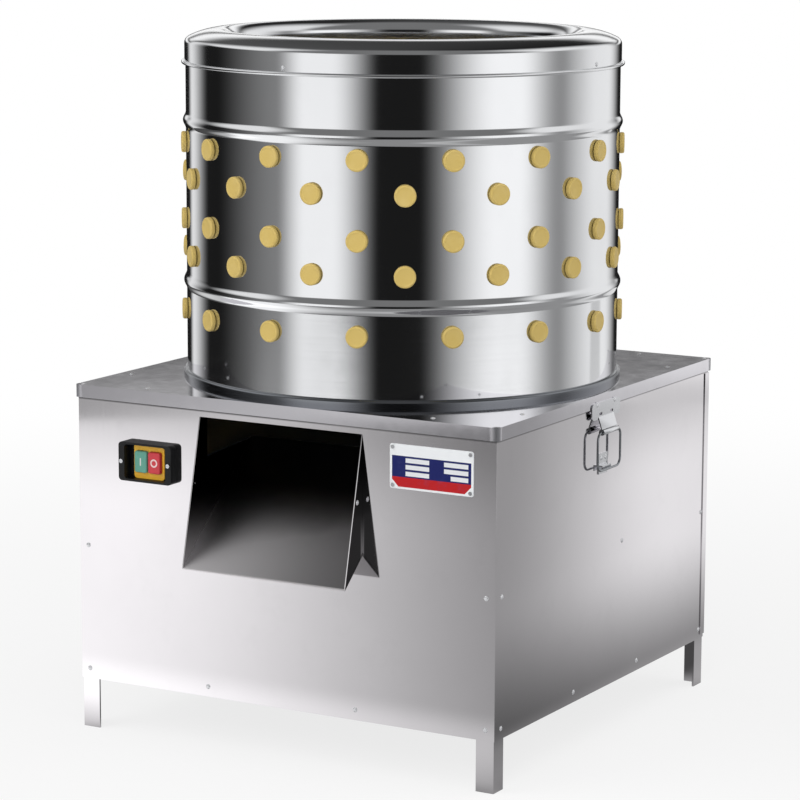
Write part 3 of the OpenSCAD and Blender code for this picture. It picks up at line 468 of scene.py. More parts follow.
@dataclass(frozen=True)
class Plastic(Finish):
    """Moulded plastic with a fine spark texture."""

    grain: float = 0.05
    shine: float = 0.5

    def inputs(self, g: Graph, place: Wire) -> dict[str, Any]:
        """Inputs of the shader.

        Args:
            g: the material's graph.
            place: Object coordinates.

        Returns:
            Values and links by the names of the shader's inputs.
        """
        cloud = g.noise(place, 60.0, 3.0, 0.6)
        speck = g.noise(place, 1400.0)
        return {
            "Base Color": g.blend(cloud.ease(0.45, 0.8) * 0.5, tint(self.colour), self.shifted(1.25, 0.01)),
            "Roughness": (cloud - 0.5) * 0.16 + self.rough,
            "Specular IOR Level": self.shine,
            "Normal": self.bump(g, speck, self.grain * MM),
        }


class Mark(Enum):
    """The printed sign on a push button."""

    BAR = 1
    RING = 2


@dataclass(frozen=True)
class KeyPlastic(Finish):
    """Glossy push-button plastic with a pale printed sign."""

    centre: Pair = (0.0, 0.0)
    mark: Mark = Mark.BAR

    def sign(self, u: Wire, v: Wire) -> Wire:
        """Mask of the sign.

        Args:
            u: place across in millimetres.
            v: place up in millimetres.

        Returns:
            One on the sign and zero beside it.
        """
        if self.mark is Mark.RING:
            return abs((u * u + v * v).call("SQRT") - 4.2).fall(0.8, 1.2)
        return abs(u).fall(0.7, 1.0) * abs(v).fall(4.6, 5.0)

    def inputs(self, g: Graph, place: Wire) -> dict[str, Any]:
        """Inputs of the shader.

        Args:
            g: the material's graph.
            place: Object coordinates.

        Returns:
            Values and links by the names of the shader's inputs.
        """
        cloud = g.noise(place, 80.0, 3.0, 0.6)
        shade = g.blend(cloud.ease(0.45, 0.8) * 0.6, tint(self.colour), self.shifted(1.3, 0.02))
        sign = self.sign(*self.spot(g, place, self.centre))
        return {
            "Base Color": g.blend(sign * 0.8, shade, tint("f4e6e4")),
            "Roughness": cloud * 0.14 + self.rough,
            "Specular IOR Level": 0.5,
        }


@dataclass(frozen=True)
class Paint(Finish):
    """Sprayed paint with orange peel and dust on top."""

    dust: str = "8a8f93"

    def inputs(self, g: Graph, place: Wire) -> dict[str, Any]:
        """Inputs of the shader.

        Args:
            g: the material's graph.
            place: Object coordinates.

        Returns:
            Values and links by the names of the shader's inputs.
        """
        peel = g.noise(place, 420.0)
        cloud = g.noise(place, 14.0, 5.0, 0.65)
        return {
            "Base Color": g.blend(cloud.ease(0.5, 0.85) * 0.35, tint(self.colour), tint(self.dust)),
            "Roughness": cloud * 0.2 + self.rough,
            "Normal": self.bump(g, peel, 0.1 * MM),
        }


@dataclass(frozen=True)
class PrintedPlate(Finish):
    """Blank rating plate: blue field with empty boxes, a pale head and a red foot."""

    centre: Pair = (0.0, 0.0)
    field_colour: str = "101a60"
    foot_colour: str = "bc161c"

    def box(self, u: Wire, v: Wire, edges: tuple[float, float, float, float]) -> Wire:
        """Mask of a rectangle.

        Args:
            u: place across in millimetres.
            v: place up in millimetres.
            edges: left, bottom, right and top edge.

        Returns:
            One inside the rectangle and zero outside.
        """
        left, low, right, high = edges
        soft = 0.25
        across = u.ease(left - soft, left + soft) * u.fall(right - soft, right + soft)
        up = v.ease(low - soft, low + soft) * v.fall(high - soft, high + soft)
        return across * up

    def inputs(self, g: Graph, place: Wire) -> dict[str, Any]:
        """Inputs of the shader.

        Args:
            g: the material's graph.
            place: Object coordinates.

        Returns:
            Values and links by the names of the shader's inputs.
        """
        u, v = self.spot(g, place, self.centre)
        cloud = g.noise(place, 90.0, 3.0, 0.6)
        white = tint(self.colour)
        colour: Any = g.blend(cloud * 0.15, white, tint("c9ced6"))
        cut_corners = (abs(u) + abs(v)).fall(69.0, 69.6)
        printed = self.box(u, v, (-53.5, -24.5, 53.5, 13.0)) * cut_corners
        ink = g.blend(v.ease(-12.7, -12.3), tint(self.foot_colour), tint(self.field_colour))
        ink = g.blend(cloud.ease(0.5, 0.8) * 0.2, ink, tint("46507c"))
        colour = g.blend(printed, colour, ink)
        for left, right in ((-35.0, -3.0), (17.0, 49.5)):
            for row in range(3):
                low = 5.2 - 8.0 * row
                start = left + (9.0 if row == 2 and left > 0 else 0.0)
                colour = g.blend(self.box(u, v, (start, low, right, low + 5.4)) * 0.9, colour, white)
        return {"Base Color": colour, "Roughness": cloud * 0.15 + self.rough, "Specular IOR Level": 0.3}


class Shop:
    """Every finish of the machine, made once."""

    def __init__(self) -> None:
        """Make the materials."""
        finishes: list[Finish] = [
            PolishedSteel("drum_steel", "e6e7e9", 0.075, Grain.AROUND, 0.015, 0.015),
            PolishedSteel("cap_steel", "e6e7e9", 0.09, Grain.AROUND, 0.02, 0.03),
            PanelSteel("panel_steel", "eeebee", 0.06, Grain.UPRIGHT, 0.02, 0.02, 0.03),
            LidSteel("lid_steel", "e1dfe4", 0.07, Grain.PLAIN, 0.03, 0.03, 0.04),
            ChuteSteel("chute_steel", "e6e3e5", 0.07, Grain.ACROSS, 0.004, 0.004),
            PolishedSteel("bright_steel", "dcdde0", 0.14, spread=0.04, lines=0.03),
            PolishedSteel("rivet_steel", "e2e3e6", 0.30, spread=0.04, lines=0.03, metal=0.45),
            PolishedSteel("machine_steel", "8f9296", 0.30, spread=0.08, lines=0.05, metal=0.7),
            PolishedSteel("dull_steel", "96989b", 0.34, spread=0.08, lines=0.05, metal=0.55),
            PolishedSteel("pan_steel", "7f8184", 0.34, spread=0.08, lines=0.05),
            PolishedSteel("wire_steel", "9a9da1", 0.18, spread=0.05, lines=0.03),
            # A darker copy of wire_steel for the foot ring: painted shade where the drum stands on the lid
            PolishedSteel("foot_steel", "7e8186", 0.18, spread=0.05, lines=0.03),
            Rubber("finger_rubber", "d8bc6c", 0.5),
            Rubber("belt_rubber", "17181a", 0.75, "2b2c2e"),
            Plastic("black_plastic", "0d0e10", 0.42, 0.06, 0.35),
            Plastic("yellow_plastic", "fbc038", 0.35, 0.02, 0.5),
            KeyPlastic("green_plastic", "5fa08e", 0.25, (-200.0, 353.0), Mark.BAR),
            KeyPlastic("red_plastic", "cc3a44", 0.25, (-180.0, 353.0), Mark.RING),
            Paint("motor_paint", "2c4a6b", 0.34),
            PrintedPlate("printed_plate", "f1f3f5", 0.3, (210.5, 383.5)),
        ]
        self.materials = {f.name: f.make() for f in finishes}

    def __getitem__(self, name: str) -> Material:
        """The material of that name."""
        return self.materials[name]


def new_piece(name: str, data: bpy.types.ID) -> Piece:
    """Link data into the scene as an object at the origin.

    Args:
        name: the object's name.
        data: its mesh, camera or light.

    Returns:
        The object.
    """
    piece = bpy.data.objects.new(name, data)
    bpy.context.scene.collection.objects.link(piece)
    return piece


def mesh_from(name: str, bm: bmesh.types.BMesh, crease: float = 35.0, flat: Any = None) -> Mesh:
    """Close a bmesh into a smooth mesh with sharp creases.

    Args:
        name: the mesh's name.
        bm: the bmesh, freed here.
        crease: angle in degrees above which an edge stays sharp.
        flat: layer that marks the faces of flat sheet.

    Returns:
        The mesh.
    """
    bm.normal_update()
    for face in bm.faces:
        face.smooth = flat is None or not face[flat]
    for edge in bm.edges:
        edge.smooth = edge.calc_face_angle(0.0) < math.radians(crease)
    mesh = bpy.data.meshes.new(name)
    bm.to_mesh(mesh)
    bm.free()
    return mesh


def arc(centre: Pair, radius: float, start: float, end: float, steps: int) -> list[Pair]:
    """Points of an arc in a section, from one direction to another in degrees."""
    turns = [math.radians(start + (end - start) * i / steps) for i in range(steps + 1)]
    return [(centre[0] + radius * math.cos(a), centre[1] + radius * math.sin(a)) for a in turns]


def bend(start: Pair, corner: Pair, end: Pair, steps: int) -> list[Pair]:
    """A soft corner between two points of a section.

    Args:
        start: where the corner begins.
        corner: the sharp corner that is rounded off.
        end: where it ends.
        steps: number of stretches.

    Returns:
        The points from start to end.
    """
    made = []
    for i in range(steps + 1):
        t = i / steps
        p, q, r = (1 - t) ** 2, 2 * t * (1 - t), t * t
        made.append((p * start[0] + q * corner[0] + r * end[0], p * start[1] + q * corner[1] + r * end[1]))
    return made


def thicken(path: Sequence[Pair], wall: float) -> list[Pair]:
    """Close an open section path into the outline of a sheet.

    Args:
        path: points of the sheet's outer face.
        wall: thickness, to the left of the path's direction.

    Returns:
        A closed outline.
    """
    inner = []
    for i, here in enumerate(path):
        before = path[max(i - 1, 0)]
        after = path[min(i + 1, len(path) - 1)]
        run = Vector((after[0] - before[0], after[1] - before[1])).normalized()
        inner.append((here[0] - run.y * wall, here[1] + run.x * wall))
    return list(path) + inner[::-1]


def lathe(
    name: str, outlines: Sequence[Sequence[Pair]], steps: int, crease: float,
    axis_y: float = 0.0, closed: bool = False,
) -> Mesh:
    """Turn outlines round an upright axis.

    Args:
        name: the mesh's name.
        outlines: radius and height of each point in millimetres.
        steps: number of segments round the axis.
        crease: angle in degrees above which an edge stays sharp.
        axis_y: where the axis stands along Y, in millimetres.
        closed: whether the last point of an outline joins the first. If not, an open foot is closed flat.

    Returns:
        The mesh.
    """
    bm = bmesh.new()
    turns = [2 * math.pi * i / steps for i in range(steps)]
    for outline in outlines:
        rings = []
        for r, z in outline:
            spots = [(r * math.cos(a), axis_y + r * math.sin(a)) for a in turns] if r else [(0.0, axis_y)]
            rings.append([bm.verts.new((x * MM, y * MM, z * MM)) for x, y in spots])
        made = []
        for a, b in zip(rings, rings[1:] + (rings[:1] if closed else [])):
            for i in range(steps):
                n = (i + 1) % steps
                corners = [a[i % len(a)], a[n % len(a)], b[n % len(b)], b[i % len(b)]]
                made.append(bm.faces.new(list(dict.fromkeys(corners))))
        if not closed and len(rings[0]) > 1:
            made.append(bm.faces.new(rings[0][::-1]))
        bmesh.ops.recalc_face_normals(bm, faces=made)
    return mesh_from(name, bm, crease)


class Maker:
    """Geometry Nodes tree with named inputs that ends in real, dressed geometry."""

    def __init__(self, name: str, inputs: Mapping[str, str]) -> None:
        """Make the tree's inputs and output.

        Args:
            name: the tree's name.
            inputs: kind of each input between the geometry and the finish.
        """
        self.tree = bpy.data.node_groups.new(name, "GeometryNodeTree")
        face = self.tree.interface
        self.inputs = {}
        for key, kind in {"Geometry": "Geometry", **inputs, "Finish": "Material"}.items():
            made = face.new_socket(name=key, in_out="INPUT", socket_type="NodeSocket" + kind)
            self.inputs[key] = made.identifier
        face.new_socket(name="Geometry", in_out="OUTPUT", socket_type="NodeSocketGeometry")
        self.graph = Graph(self.tree)
        self.given = self.graph.node("NodeGroupInput").outputs

    def end(self, shape: bpy.types.Node) -> None:
        """Make the geometry real, set its material and close the tree.

        Args:
            shape: the node that gives the finished shape.
        """
        real = self.graph.node("GeometryNodeRealizeInstances", {}, {"Geometry": shape})
        given = {"Geometry": real, "Material": self.given["Finish"]}
        dressed = self.graph.node("GeometryNodeSetMaterial", {}, given)
        self.graph.node("NodeGroupOutput", {}, {0: dressed})

    def run(self, piece: Piece, values: Mapping[str, Any]) -> None:
        """Put the tree on a piece, set its inputs and bake it.

        Args:
            piece: what the tree works on.
            values: the inputs' values by name.
        """
        modifier = piece.modifiers.new(self.tree.name, "NODES")
        modifier.node_group = self.tree
        for key, value in values.items():
            modifier[self.inputs[key]] = value
        bake(piece)


class Scatter(Maker):
    """Tree that sets one shape on every point of a mesh."""

    def __init__(self) -> None:
        """Build the tree."""
        super().__init__("set_on_points", {"Shape": "Object", "Spin": "Float", "Seed": "Int"})
        g, given = self.graph, self.given
        shape = g.node("GeometryNodeObjectInfo", {}, {"Object": given["Shape"]})
        facing = g.node("GeometryNodeInputNamedAttribute", {"data_type": "FLOAT_VECTOR"}, {"Name": "facing"})
        limits = {"Min_001": -1.0, "Max_001": 1.0, "Seed": given["Seed"]}
        chance = g.node("FunctionNodeRandomValue", {"data_type": "FLOAT"}, limits)
        roll = Wire(g, [s for s in chance.outputs if s.enabled][0]) * given["Spin"]
        about = g.node("ShaderNodeCombineXYZ", {}, {"Z": roll})
        both = {0: facing.outputs["Attribute"], 1: about}
        turned = g.node("FunctionNodeRotateRotation", {"rotation_space": "LOCAL"}, both)
        self.end(g.node("GeometryNodeInstanceOnPoints", {}, {
            "Points": given["Geometry"], "Instance": shape.outputs["Geometry"], "Rotation": turned,
        }))

    def make(
        self, name: str, shape: Mesh, sites: Sequence[Matrix], finish: Material,
        spin: float = 0.0, seed: int = 1,
    ) -> Piece:
        """Set a shape on sites and bake the result.

        Args:
            name: the new piece's name.
            shape: mesh drawn about the origin, outwards along +Z.
            sites: place and turn of each copy.
            finish: material of the piece.
            spin: how far each copy may turn about its own axis, in radians.
            seed: seed of that turn.

        Returns:
            The piece, a plain mesh.
        """
        points = bpy.data.meshes.new(name + "_sites")
        points.from_pydata([tuple(s.to_translation()) for s in sites], [], [])
        facing = points.attributes.new("facing", "FLOAT_VECTOR", "POINT")
        for i, site in enumerate(sites):
            facing.data[i].vector = tuple(site.to_euler("XYZ"))
        piece = new_piece(name, points)
        pattern = new_piece(name + "_shape", shape)
        self.run(piece, {"Shape": pattern, "Spin": spin, "Seed": seed, "Finish": finish})
        bpy.data.objects.remove(pattern)
        return piece


class WirePath(Maker):
    """Tree that turns a closed line into round wire with bent corners."""

    def __init__(self) -> None:
        """Build the tree."""
        super().__init__("bent_wire", {"Wire radius": "Float", "Bend": "Float"})
        g, given = self.graph, self.given
        line = g.node("GeometryNodeMeshToCurve", {}, {"Mesh": given["Geometry"]})
        bent = {"Curve": line, "Radius": given["Bend"], "Count": 10}
        soft = g.node("GeometryNodeFilletCurve", {"mode": "POLY"}, bent)
        round_ = {"Resolution": 20, "Radius": given["Wire radius"]}
        ring = g.node("GeometryNodeCurvePrimitiveCircle", {}, round_)
        tube = g.node("GeometryNodeCurveToMesh", {}, {"Curve": soft, "Profile Curve": ring})
        self.end(g.node("GeometryNodeSetShadeSmooth", {}, {0: tube, "Shade Smooth": True}))

    def make(
        self, name: str, corners: Sequence[Triple], radius: float, corner: float, finish: Material
    ) -> Piece:
        """Bend a closed wire.

        Args:
            name: the piece's name.
            corners: corners of the loop in millimetres.
            radius: radius of the wire in millimetres.
            corner: bend radius in millimetres.
            finish: material of the wire.

        Returns:
            The piece, a plain mesh.
        """
        count = len(corners)
        line = bpy.data.meshes.new(name + "_line")
        points = [[c * MM for c in p] for p in corners]
        line.from_pydata(points, [(i, (i + 1) % count) for i in range(count)], [])
        piece = new_piece(name, line)
        self.run(piece, {"Wire radius": radius * MM, "Bend": corner * MM, "Finish": finish})
        return piece


def bake(piece: Piece) -> None:
    """Turn a piece's modifiers into a plain mesh.

    Args:
        piece: the piece, which keeps its name.
    """
    graph = bpy.context.evaluated_depsgraph_get()
    shown = piece.evaluated_get(graph)
    piece.data = bpy.data.meshes.new_from_object(shown, preserve_all_data_layers=True, depsgraph=graph)
    piece.data.name = piece.name
    piece.modifiers.clear()


def sited(place: Triple, out: Triple) -> Matrix:
    """A site at a place in millimetres whose +Z looks along a direction."""
    turn = Vector(out).to_track_quat("Z", "Y").to_matrix().to_4x4()
    return Matrix.Translation(Vector(place) * MM) @ turn


def ring_sites(radius: float, z: float, count: int, first: float, out: Triple | None = None) -> list[Matrix]:
    """Sites spaced evenly round the drum's axis.

    Args:
        radius: distance from the axis in millimetres.
        z: height in millimetres.
        count: number of sites.
        first: angle of the first site in degrees.
        out: direction that all of them look along; away from the axis if none is given.

    Returns:
        The sites.
    """
    turns = [math.radians(first + 360.0 / count * i) for i in range(count)]
    spokes = [(math.cos(a), math.sin(a), 0.0) for a in turns]
    return [sited((radius * x, radius * y + AXIS_Y, z), out or (x, y, 0.0)) for x, y, _ in spokes]


def dress(piece: Piece, body: str, nodes: Sequence[str] = ()) -> Piece:
    """Hang a finished piece on its body.

    Args:
        piece: the piece.
        body: the body that it moves with.
        nodes: CAD nodes that it stands for.

    Returns:
        The same piece.
    """
    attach(piece, body)
    if nodes:
        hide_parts(*nodes)
    LOG.info("piece %s on %s: %d faces", piece.name, body, len(piece.data.polygons))
    return piece


def soften(node: str, width: float, finish: Material, steps: int = 2) -> Piece:
    """Copy a CAD node with its edges rounded over.

    Args:
        node: the CAD node.
        width: bevel width in millimetres.
        finish: material of the copy.
        steps: segments of the bevel.

    Returns:
        The copy, not yet on a body.
    """
    bm = bmesh.new()
    bm.from_mesh(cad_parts[node].data)
    bmesh.ops.remove_doubles(bm, verts=bm.verts[:], dist=MERGE_DIST)
    level = math.radians(LEVEL_ANGLE)
    bmesh.ops.dissolve_limit(bm, angle_limit=level, verts=bm.verts[:], edges=bm.edges[:])
    bm.normal_update()
    flat = bm.faces.layers.int.new("flat")
    for face in bm.faces:
        turns = [math.degrees(e.calc_face_angle(0.0)) for e in face.edges]
        curved = any(LEVEL_ANGLE < t < SHARP_ANGLE for t in turns)
        face[flat] = int(face.calc_area() > SHEET_AREA or not curved)
    limit = math.radians(SHARP_ANGLE)
    sharp = [e for e in bm.edges if e.is_manifold and e.calc_face_angle(0.0) > limit]
    made = bmesh.ops.bevel(
        bm, geom=sharp, offset=width * MM, offset_type="OFFSET", segments=steps, profile=0.5,
        affect="EDGES", clamp_overlap=True, harden_normals=False,
    )
    for face in made["faces"]:
        face[flat] = 0
    mesh = mesh_from(node + "_soft", bm, 50.0, flat)
    mesh.materials.append(finish)
    return new_piece(node + "_dressed", mesh)


@dataclass
class DrumShell:
    """The rolled drum wall, its foot ring and the spun cap ring."""

    radius: float = 275.0
    wall: float = 1.2
    seat: float = 0.05
    low: float = 442.0
    high: float = 860.0
    beads: tuple[float, ...] = (563.0, 766.0)
    bead_half: float = 11.0
    bead_out: float = 3.7
    foot: float = 4.5
    cap_top: float = 880.0
    cap_low: float = 839.0
    crest_in: float = 44.0
    shoulder: float = 90.0
    skirt_foot: float = 6.0
    corner_drop: float = 5.5
    corner_turn: float = 3.6
    roll: float = 17.0
    neck: float = 6.0
    edge: float = 2.2
    edge_sunk: float = 0.4
    steps: int = 288

    def face(self) -> list[Pair]:
        """Outer face of the wall from the foot up, beads and all.

        Returns:
            Radius and height of each point in millimetres.
        """
        path: list[Pair] = [(self.radius, self.low)]
        for bead in self.beads:
            for i in range(-10, 11):
                z = self.bead_half * i / 10
                swell = math.cos(math.pi * z / (2 * self.bead_half)) ** 2
                path.append((self.radius + self.bead_out * swell, bead + z))
        path.append((self.radius, self.high))
        return path

    def foot_outline(self) -> list[Pair]:
        """Outline of the half-round ring at the foot."""
        r, z = self.radius + self.seat, self.low
        return [(r, z), (r + self.foot, z)] + arc((r, z + self.foot), self.foot, 0.0, 90.0, 10)

    def cap_face(self) -> list[Pair]:
        """Outer face of the cap from its skirt over the crest to the mouth.

        Returns:
            Radius and height of each point in millimetres.
        """
        skirt = self.radius + self.seat + self.wall
        crest = self.radius - self.crest_in
        turn = math.degrees(math.acos((skirt - crest) / self.shoulder))
        dome = (crest, self.cap_top - self.shoulder)
        corner = (skirt, dome[1] + self.shoulder * math.sin(math.radians(turn)))
        shoulder = arc(dome, self.shoulder, turn + self.corner_turn, 90.0, 24)
        path = [(skirt, self.cap_low), (skirt, self.cap_low + self.skirt_foot)]
        path += bend((skirt, corner[1] - self.corner_drop), corner, shoulder[0], 10)
        path += shoulder[1:]
        path += arc((crest, self.cap_top - self.roll), self.roll, 90.0, 180.0, 14)[1:]
        path.append((crest - self.roll, self.cap_top - self.roll - self.neck))
        return path

    def cap_outlines(self) -> list[list[Pair]]:
        """Outlines of the cap's sheet and of its two rolled edges.

        Returns:
            Closed outlines, with radius and height in millimetres.
        """
        path = self.cap_face()
        low_edge = (path[0][0] + self.edge - self.edge_sunk, self.cap_low)
        mouth_edge = (path[-1][0] + self.edge, path[-1][1])
        rolls = [arc(middle, self.edge, 0.0, 360.0, 16)[:-1] for middle in (low_edge, mouth_edge)]
        return [thicken(path, self.wall), *rolls]

    def build(self, shop: Shop) -> None:
        """Turn the three pieces.

        Args:
            shop: the materials.
        """
        pieces = (
            ("drum_wall", [thicken(self.face(), self.wall)], 40.0, "drum_steel", "drum"),
            ("foot_ring", [self.foot_outline()], 50.0, "foot_steel", "drum_base_ring"),
            ("cap", self.cap_outlines(), 40.0, "cap_steel", "cap_ring"),
        )
        for name, outlines, crease, finish, node in pieces:
            mesh = lathe(name, outlines, self.steps, crease, AXIS_Y, closed=True)
            mesh.materials.append(shop[finish])
            dress(new_piece(name, mesh), "drum_unit", [node])


@dataclass
class Fingers:
    """The rubber plucking fingers of the drum and of the turntable."""

    radius: float = 275.05
    drum_wall: float = 1.56
    table_wall: float = 3.05
    rows: tuple[float, ...] = (527.0, 600.5, 642.5, 697.5, 739.0)
    count: int = 15
    turn: float = -59.6
    head: float = 13.4
    head_t: float = 6.0
    dish: float = 0.5
    dish_slope: Pair = (1.6, 0.5)
    rim_w: float = 2.6
    rim_r: float = 2.2
    back_r: float = 1.2
    neck: float = 9.4
    collar: float = 12.0
    collar_t: float = 3.2
    length: float = 80.0
    root: float = 11.0
    tip: float = 7.5
    tip_r: float = 2.5
    ribs: int = 6
    rib_start: float = 6.0
    rib_end: float = 8.0
    rib_edge: Pair = (0.4, 0.8)
    groove: float = 1.2
    table_z: float = 452.0
    table_rings: tuple[tuple[float, int, float], ...] = ((162.0, 12, 0.0), (96.0, 6, 0.5))

    def outline(self, wall: float) -> list[Pair]:
        """Half section of a finger, head outwards along +Z.

        Args:
            wall: thickness of the sheet that the finger is pulled through.

        Returns:
            Radius and height of each point in millimetres.
        """
        top, rim = self.head_t - self.dish, self.head - self.rim_w
        foot, knee = (rim - inset for inset in self.dish_slope)
        path = [(0.0, top), (foot, top)]
        path += bend((foot, top), (knee, top), (rim, self.head_t), 3)[1:]
        path += arc((self.head - self.rim_r, self.head_t - self.rim_r), self.rim_r, 90.0, 0.0, 5)
        path += arc((self.head - self.back_r, self.back_r), self.back_r, 0.0, -90.0, 3)
        path += [(self.neck, 0.0), (self.neck, -wall)]
        path += [(self.collar, -wall), (self.collar, -wall - self.collar_t)]
        pitch = (self.length - self.rib_start - self.rib_end) / self.ribs
        crown = ((self.rib_edge[0], 0.0), (0.0, self.rib_edge[1]), (0.0, 0.5 * pitch))
        hollow = ((self.groove, 0.68 * pitch), (self.groove, 0.9 * pitch))
        for i in range(self.ribs):
            z = self.rib_start + i * pitch
            r = self.root - (self.root - self.tip) / self.length * z
            path += [(r - inset, -wall - z - down) for inset, down in crown + hollow]
        path += arc((self.tip - self.tip_r, -wall - self.length + self.tip_r), self.tip_r, 0.0, -90.0, 4)
        path.append((0.0, -wall - self.length))
        return path

    def build(self, scatter: Scatter, finish: Material) -> None:
        """Set the fingers of the drum and the upright ones of the turntable.

        Args:
            scatter: the tree that sets the copies.
            finish: material of the fingers.
        """
        drum, table = [], []
        for row, z in enumerate(self.rows):
            first = self.turn + (180.0 / self.count if row % 2 == 0 else 0.0)
            drum += ring_sites(self.radius, z, self.count, first)
        for radius, count, shift in self.table_rings:
            table += ring_sites(radius, self.table_z, count, 360.0 / count * shift, (0.0, 0.0, -1.0))
        rows = [f"finger_row_{i}" for i in range(1, len(self.rows) + 1)]
        groups = (
            ("drum_fingers", self.drum_wall, drum, 7, "drum_unit", rows),
            ("table_fingers", self.table_wall, table, 11, "turntable_unit", ["turntable_fingers"]),
        )
        for name, wall, sites, seed, body, nodes in groups:
            shape = lathe("finger", [self.outline(wall)], steps=24, crease=60.0)
            piece = scatter.make(name, shape, sites, finish, math.pi, seed)
            dress(piece, body, nodes)


@dataclass
class Rivets:
    """The dome-headed rivets and screws of the sheet metal."""

    half: float = 297.0
    lid_half: float = 300.0
    lid_top: float = 442.0
    head: float = 3.2
    high: float = 1.4
    front: tuple[Pair, ...] = ((284.8, 77.0), (284.8, 237.0), (106.0, 77.0))
    side: tuple[Pair, ...] = ((280.8, 77.0), (280.8, 237.0), (90.0, 77.0))
    beam_y: float = 42.0
    beam_z: float = 244.0
    latch_t: float = 1.5
    latch_y: float = -18.0
    keeper_gap: float = 6.0
    keeper_z: float = 361.0
    plate_gap: float = 24.0
    plate_z: float = 430.5
    cheek: Triple = (116.0, -12.0, 336.0)
    lid_in: float = 19.0
    lid_side: float = 203.0
    cap_r: float = 276.25
    cap_z: float = 845.5
    cap_turn: float = -91.5

    def dome(self) -> Mesh:
        """Head of a rivet, seated on the sheet.

        Returns:
            The mesh, drawn about the origin.
        """
        ball = (self.head**2 + self.high**2) / (2 * self.high)
        turns = [math.asin(self.head / ball) * (1 - k / 6) for k in range(6)]
        outline = [(ball * math.sin(a), self.high - ball * (1 - math.cos(a))) for a in turns]
        return lathe("rivet", [outline + [(0.0, self.high)]], steps=16, crease=50.0)

    def latch_site(self, half: float, x: int, along: float, z: float) -> Matrix:
        """Site on a latch part that lies on a sheet, at one side of the machine."""
        return sited((x * (half + self.latch_t), self.latch_y + along + AXIS_Y, z), (x, 0, 0))

    def cabinet_sites(self) -> list[Matrix]:
        """Rivets of the panels, the chute's cheeks and the keepers.

        Returns:
            The sites.
        """
        sites = []
        for s in (-1, 1):
            for x, z in self.front:
                sites.append(sited((s * x, -self.half + AXIS_Y, z), (0, -1, 0)))
            for x in (-1, 1):
                for y, z in self.side:
                    sites.append(sited((x * self.half, s * y + AXIS_Y, z), (x, 0, 0)))
                sites.append(self.latch_site(self.half, x, s * self.keeper_gap, self.keeper_z))
            place = (s * self.cheek[0], -self.half + self.cheek[1] + AXIS_Y, self.cheek[2])
            sites.append(sited(place, (s, 0, 0)))
            sites.append(sited((s * self.half, self.beam_y + AXIS_Y, self.beam_z), (s, 0, 0)))
        return sites

    def lid_sites(self) -> list[Matrix]:
        """Rivets of the lid's top and of the latch plates.

        Returns:
            The sites.
        """
        sites = []
        for quarter in range(4):
            for s in (-1, 1):
                corner = Vector((self.lid_half - self.lid_in, s * self.lid_side, self.lid_top))
                p = Matrix.Rotation(quarter * math.pi / 2, 4, "Z") @ corner
                sites.append(sited((p.x, p.y + AXIS_Y, p.z), (0, 0, 1)))
        for x in (-1, 1):
            for s in (-1, 1):
                sites.append(self.latch_site(self.lid_half, x, s * self.plate_gap, self.plate_z))
        return sites

    def build(self, scatter: Scatter, finish: Material) -> None:
        """Make all the groups.

        Args:
            scatter: the tree that sets the copies.
            finish: material of the heads.
        """
        groups = (
            ("panel_rivets", self.cabinet_sites(), "cabinet", "cabinet_rivets"),
            ("top_rivets", self.lid_sites(), "drum_unit", "lid_rivets"),
            ("skirt_screws", ring_sites(self.cap_r, self.cap_z, 4, self.cap_turn), "drum_unit", "cap_screws"),
        )
        for name, sites, body, node in groups:
            piece = scatter.make(name, self.dome(), sites, finish)
            dress(piece, body, [node])


@dataclass
class Latches:
    """The bails, plates and keepers of the two side latches."""

    half: float = 297.0
    along: float = -18.0
    pivot_out: float = 9.0
    pivot_z: float = 396.0
    drop: float = 48.0
    width: float = 63.0
    wire: float = 1.5
    bend: float = 10.0

    def build(self, path: WirePath, shop: Shop) -> None:
        """Make both sides.

        Args:
            path: the tree that bends the wire.
            shop: the materials.
        """
        for side, s in (("right", 1), ("left", -1)):
            x = s * (self.half + self.pivot_out)
            y0, y1 = self.along - self.width / 2 + AXIS_Y, self.along + self.width / 2 + AXIS_Y
            top, low = self.pivot_z, self.pivot_z - self.drop
            corners = [(x, y0, top), (x, y1, top), (x, y1, low), (x, y0, low)]
            piece = path.make(f"bail_{side}_wire", corners, self.wire, self.bend, shop["wire_steel"])
            dress(piece, f"bail_{side}", [f"latch_bail_{side}"])
            for part, width, body in (("plate", 0.4, "drum_unit"), ("keeper", 0.3, "cabinet")):
                node = f"latch_{part}_{side}"
                dress(soften(node, width, shop["bright_steel"]), body, [node])


@dataclass(frozen=True)
class Skin:
    """Finish of a CAD node, the width of its softened edges, its body and its slot."""

    finish: str
    width: float
    body: str = "cabinet"
    slot: str = "stainless_steel"


@dataclass
class Cabinet:
    """The sheet-metal cabinet with its legs, chute, switch and nameplate."""

    nodes: dict[str, Skin] = field(default_factory=lambda: {
        **{f"{side}_panel": Skin("panel_steel", 0.3) for side in ("front", "left", "right")},
        "back_cover": Skin("panel_steel", 0.4),
        **{
            f"leg_{end}_{side}": Skin("panel_steel", 0.5)
            for end in ("front", "back")
            for side in ("left", "right")
        },
        "feather_chute": Skin("chute_steel", 0.3),
        "lid": Skin("lid_steel", 0.5, "drum_unit"),
        "switch_box": Skin("black_plastic", 1.2, slot="black_plastic"),
        "switch_bezel": Skin("yellow_plastic", 0.5, slot="yellow_plastic"),
        "start_button": Skin("green_plastic", 1.2, "start_key", "green_plastic"),
        "stop_button": Skin("red_plastic", 1.2, "stop_key", "red_plastic"),
        "nameplate": Skin("printed_plate", 0.2, slot="printed_plate"),
    })

    def build(self, shop: Shop) -> None:
        """Dress each sheet and moulding with rounded edges."""
        for node, skin in self.nodes.items():
            dress(soften(node, skin.width, shop[skin.finish], 3), skin.body, [node])


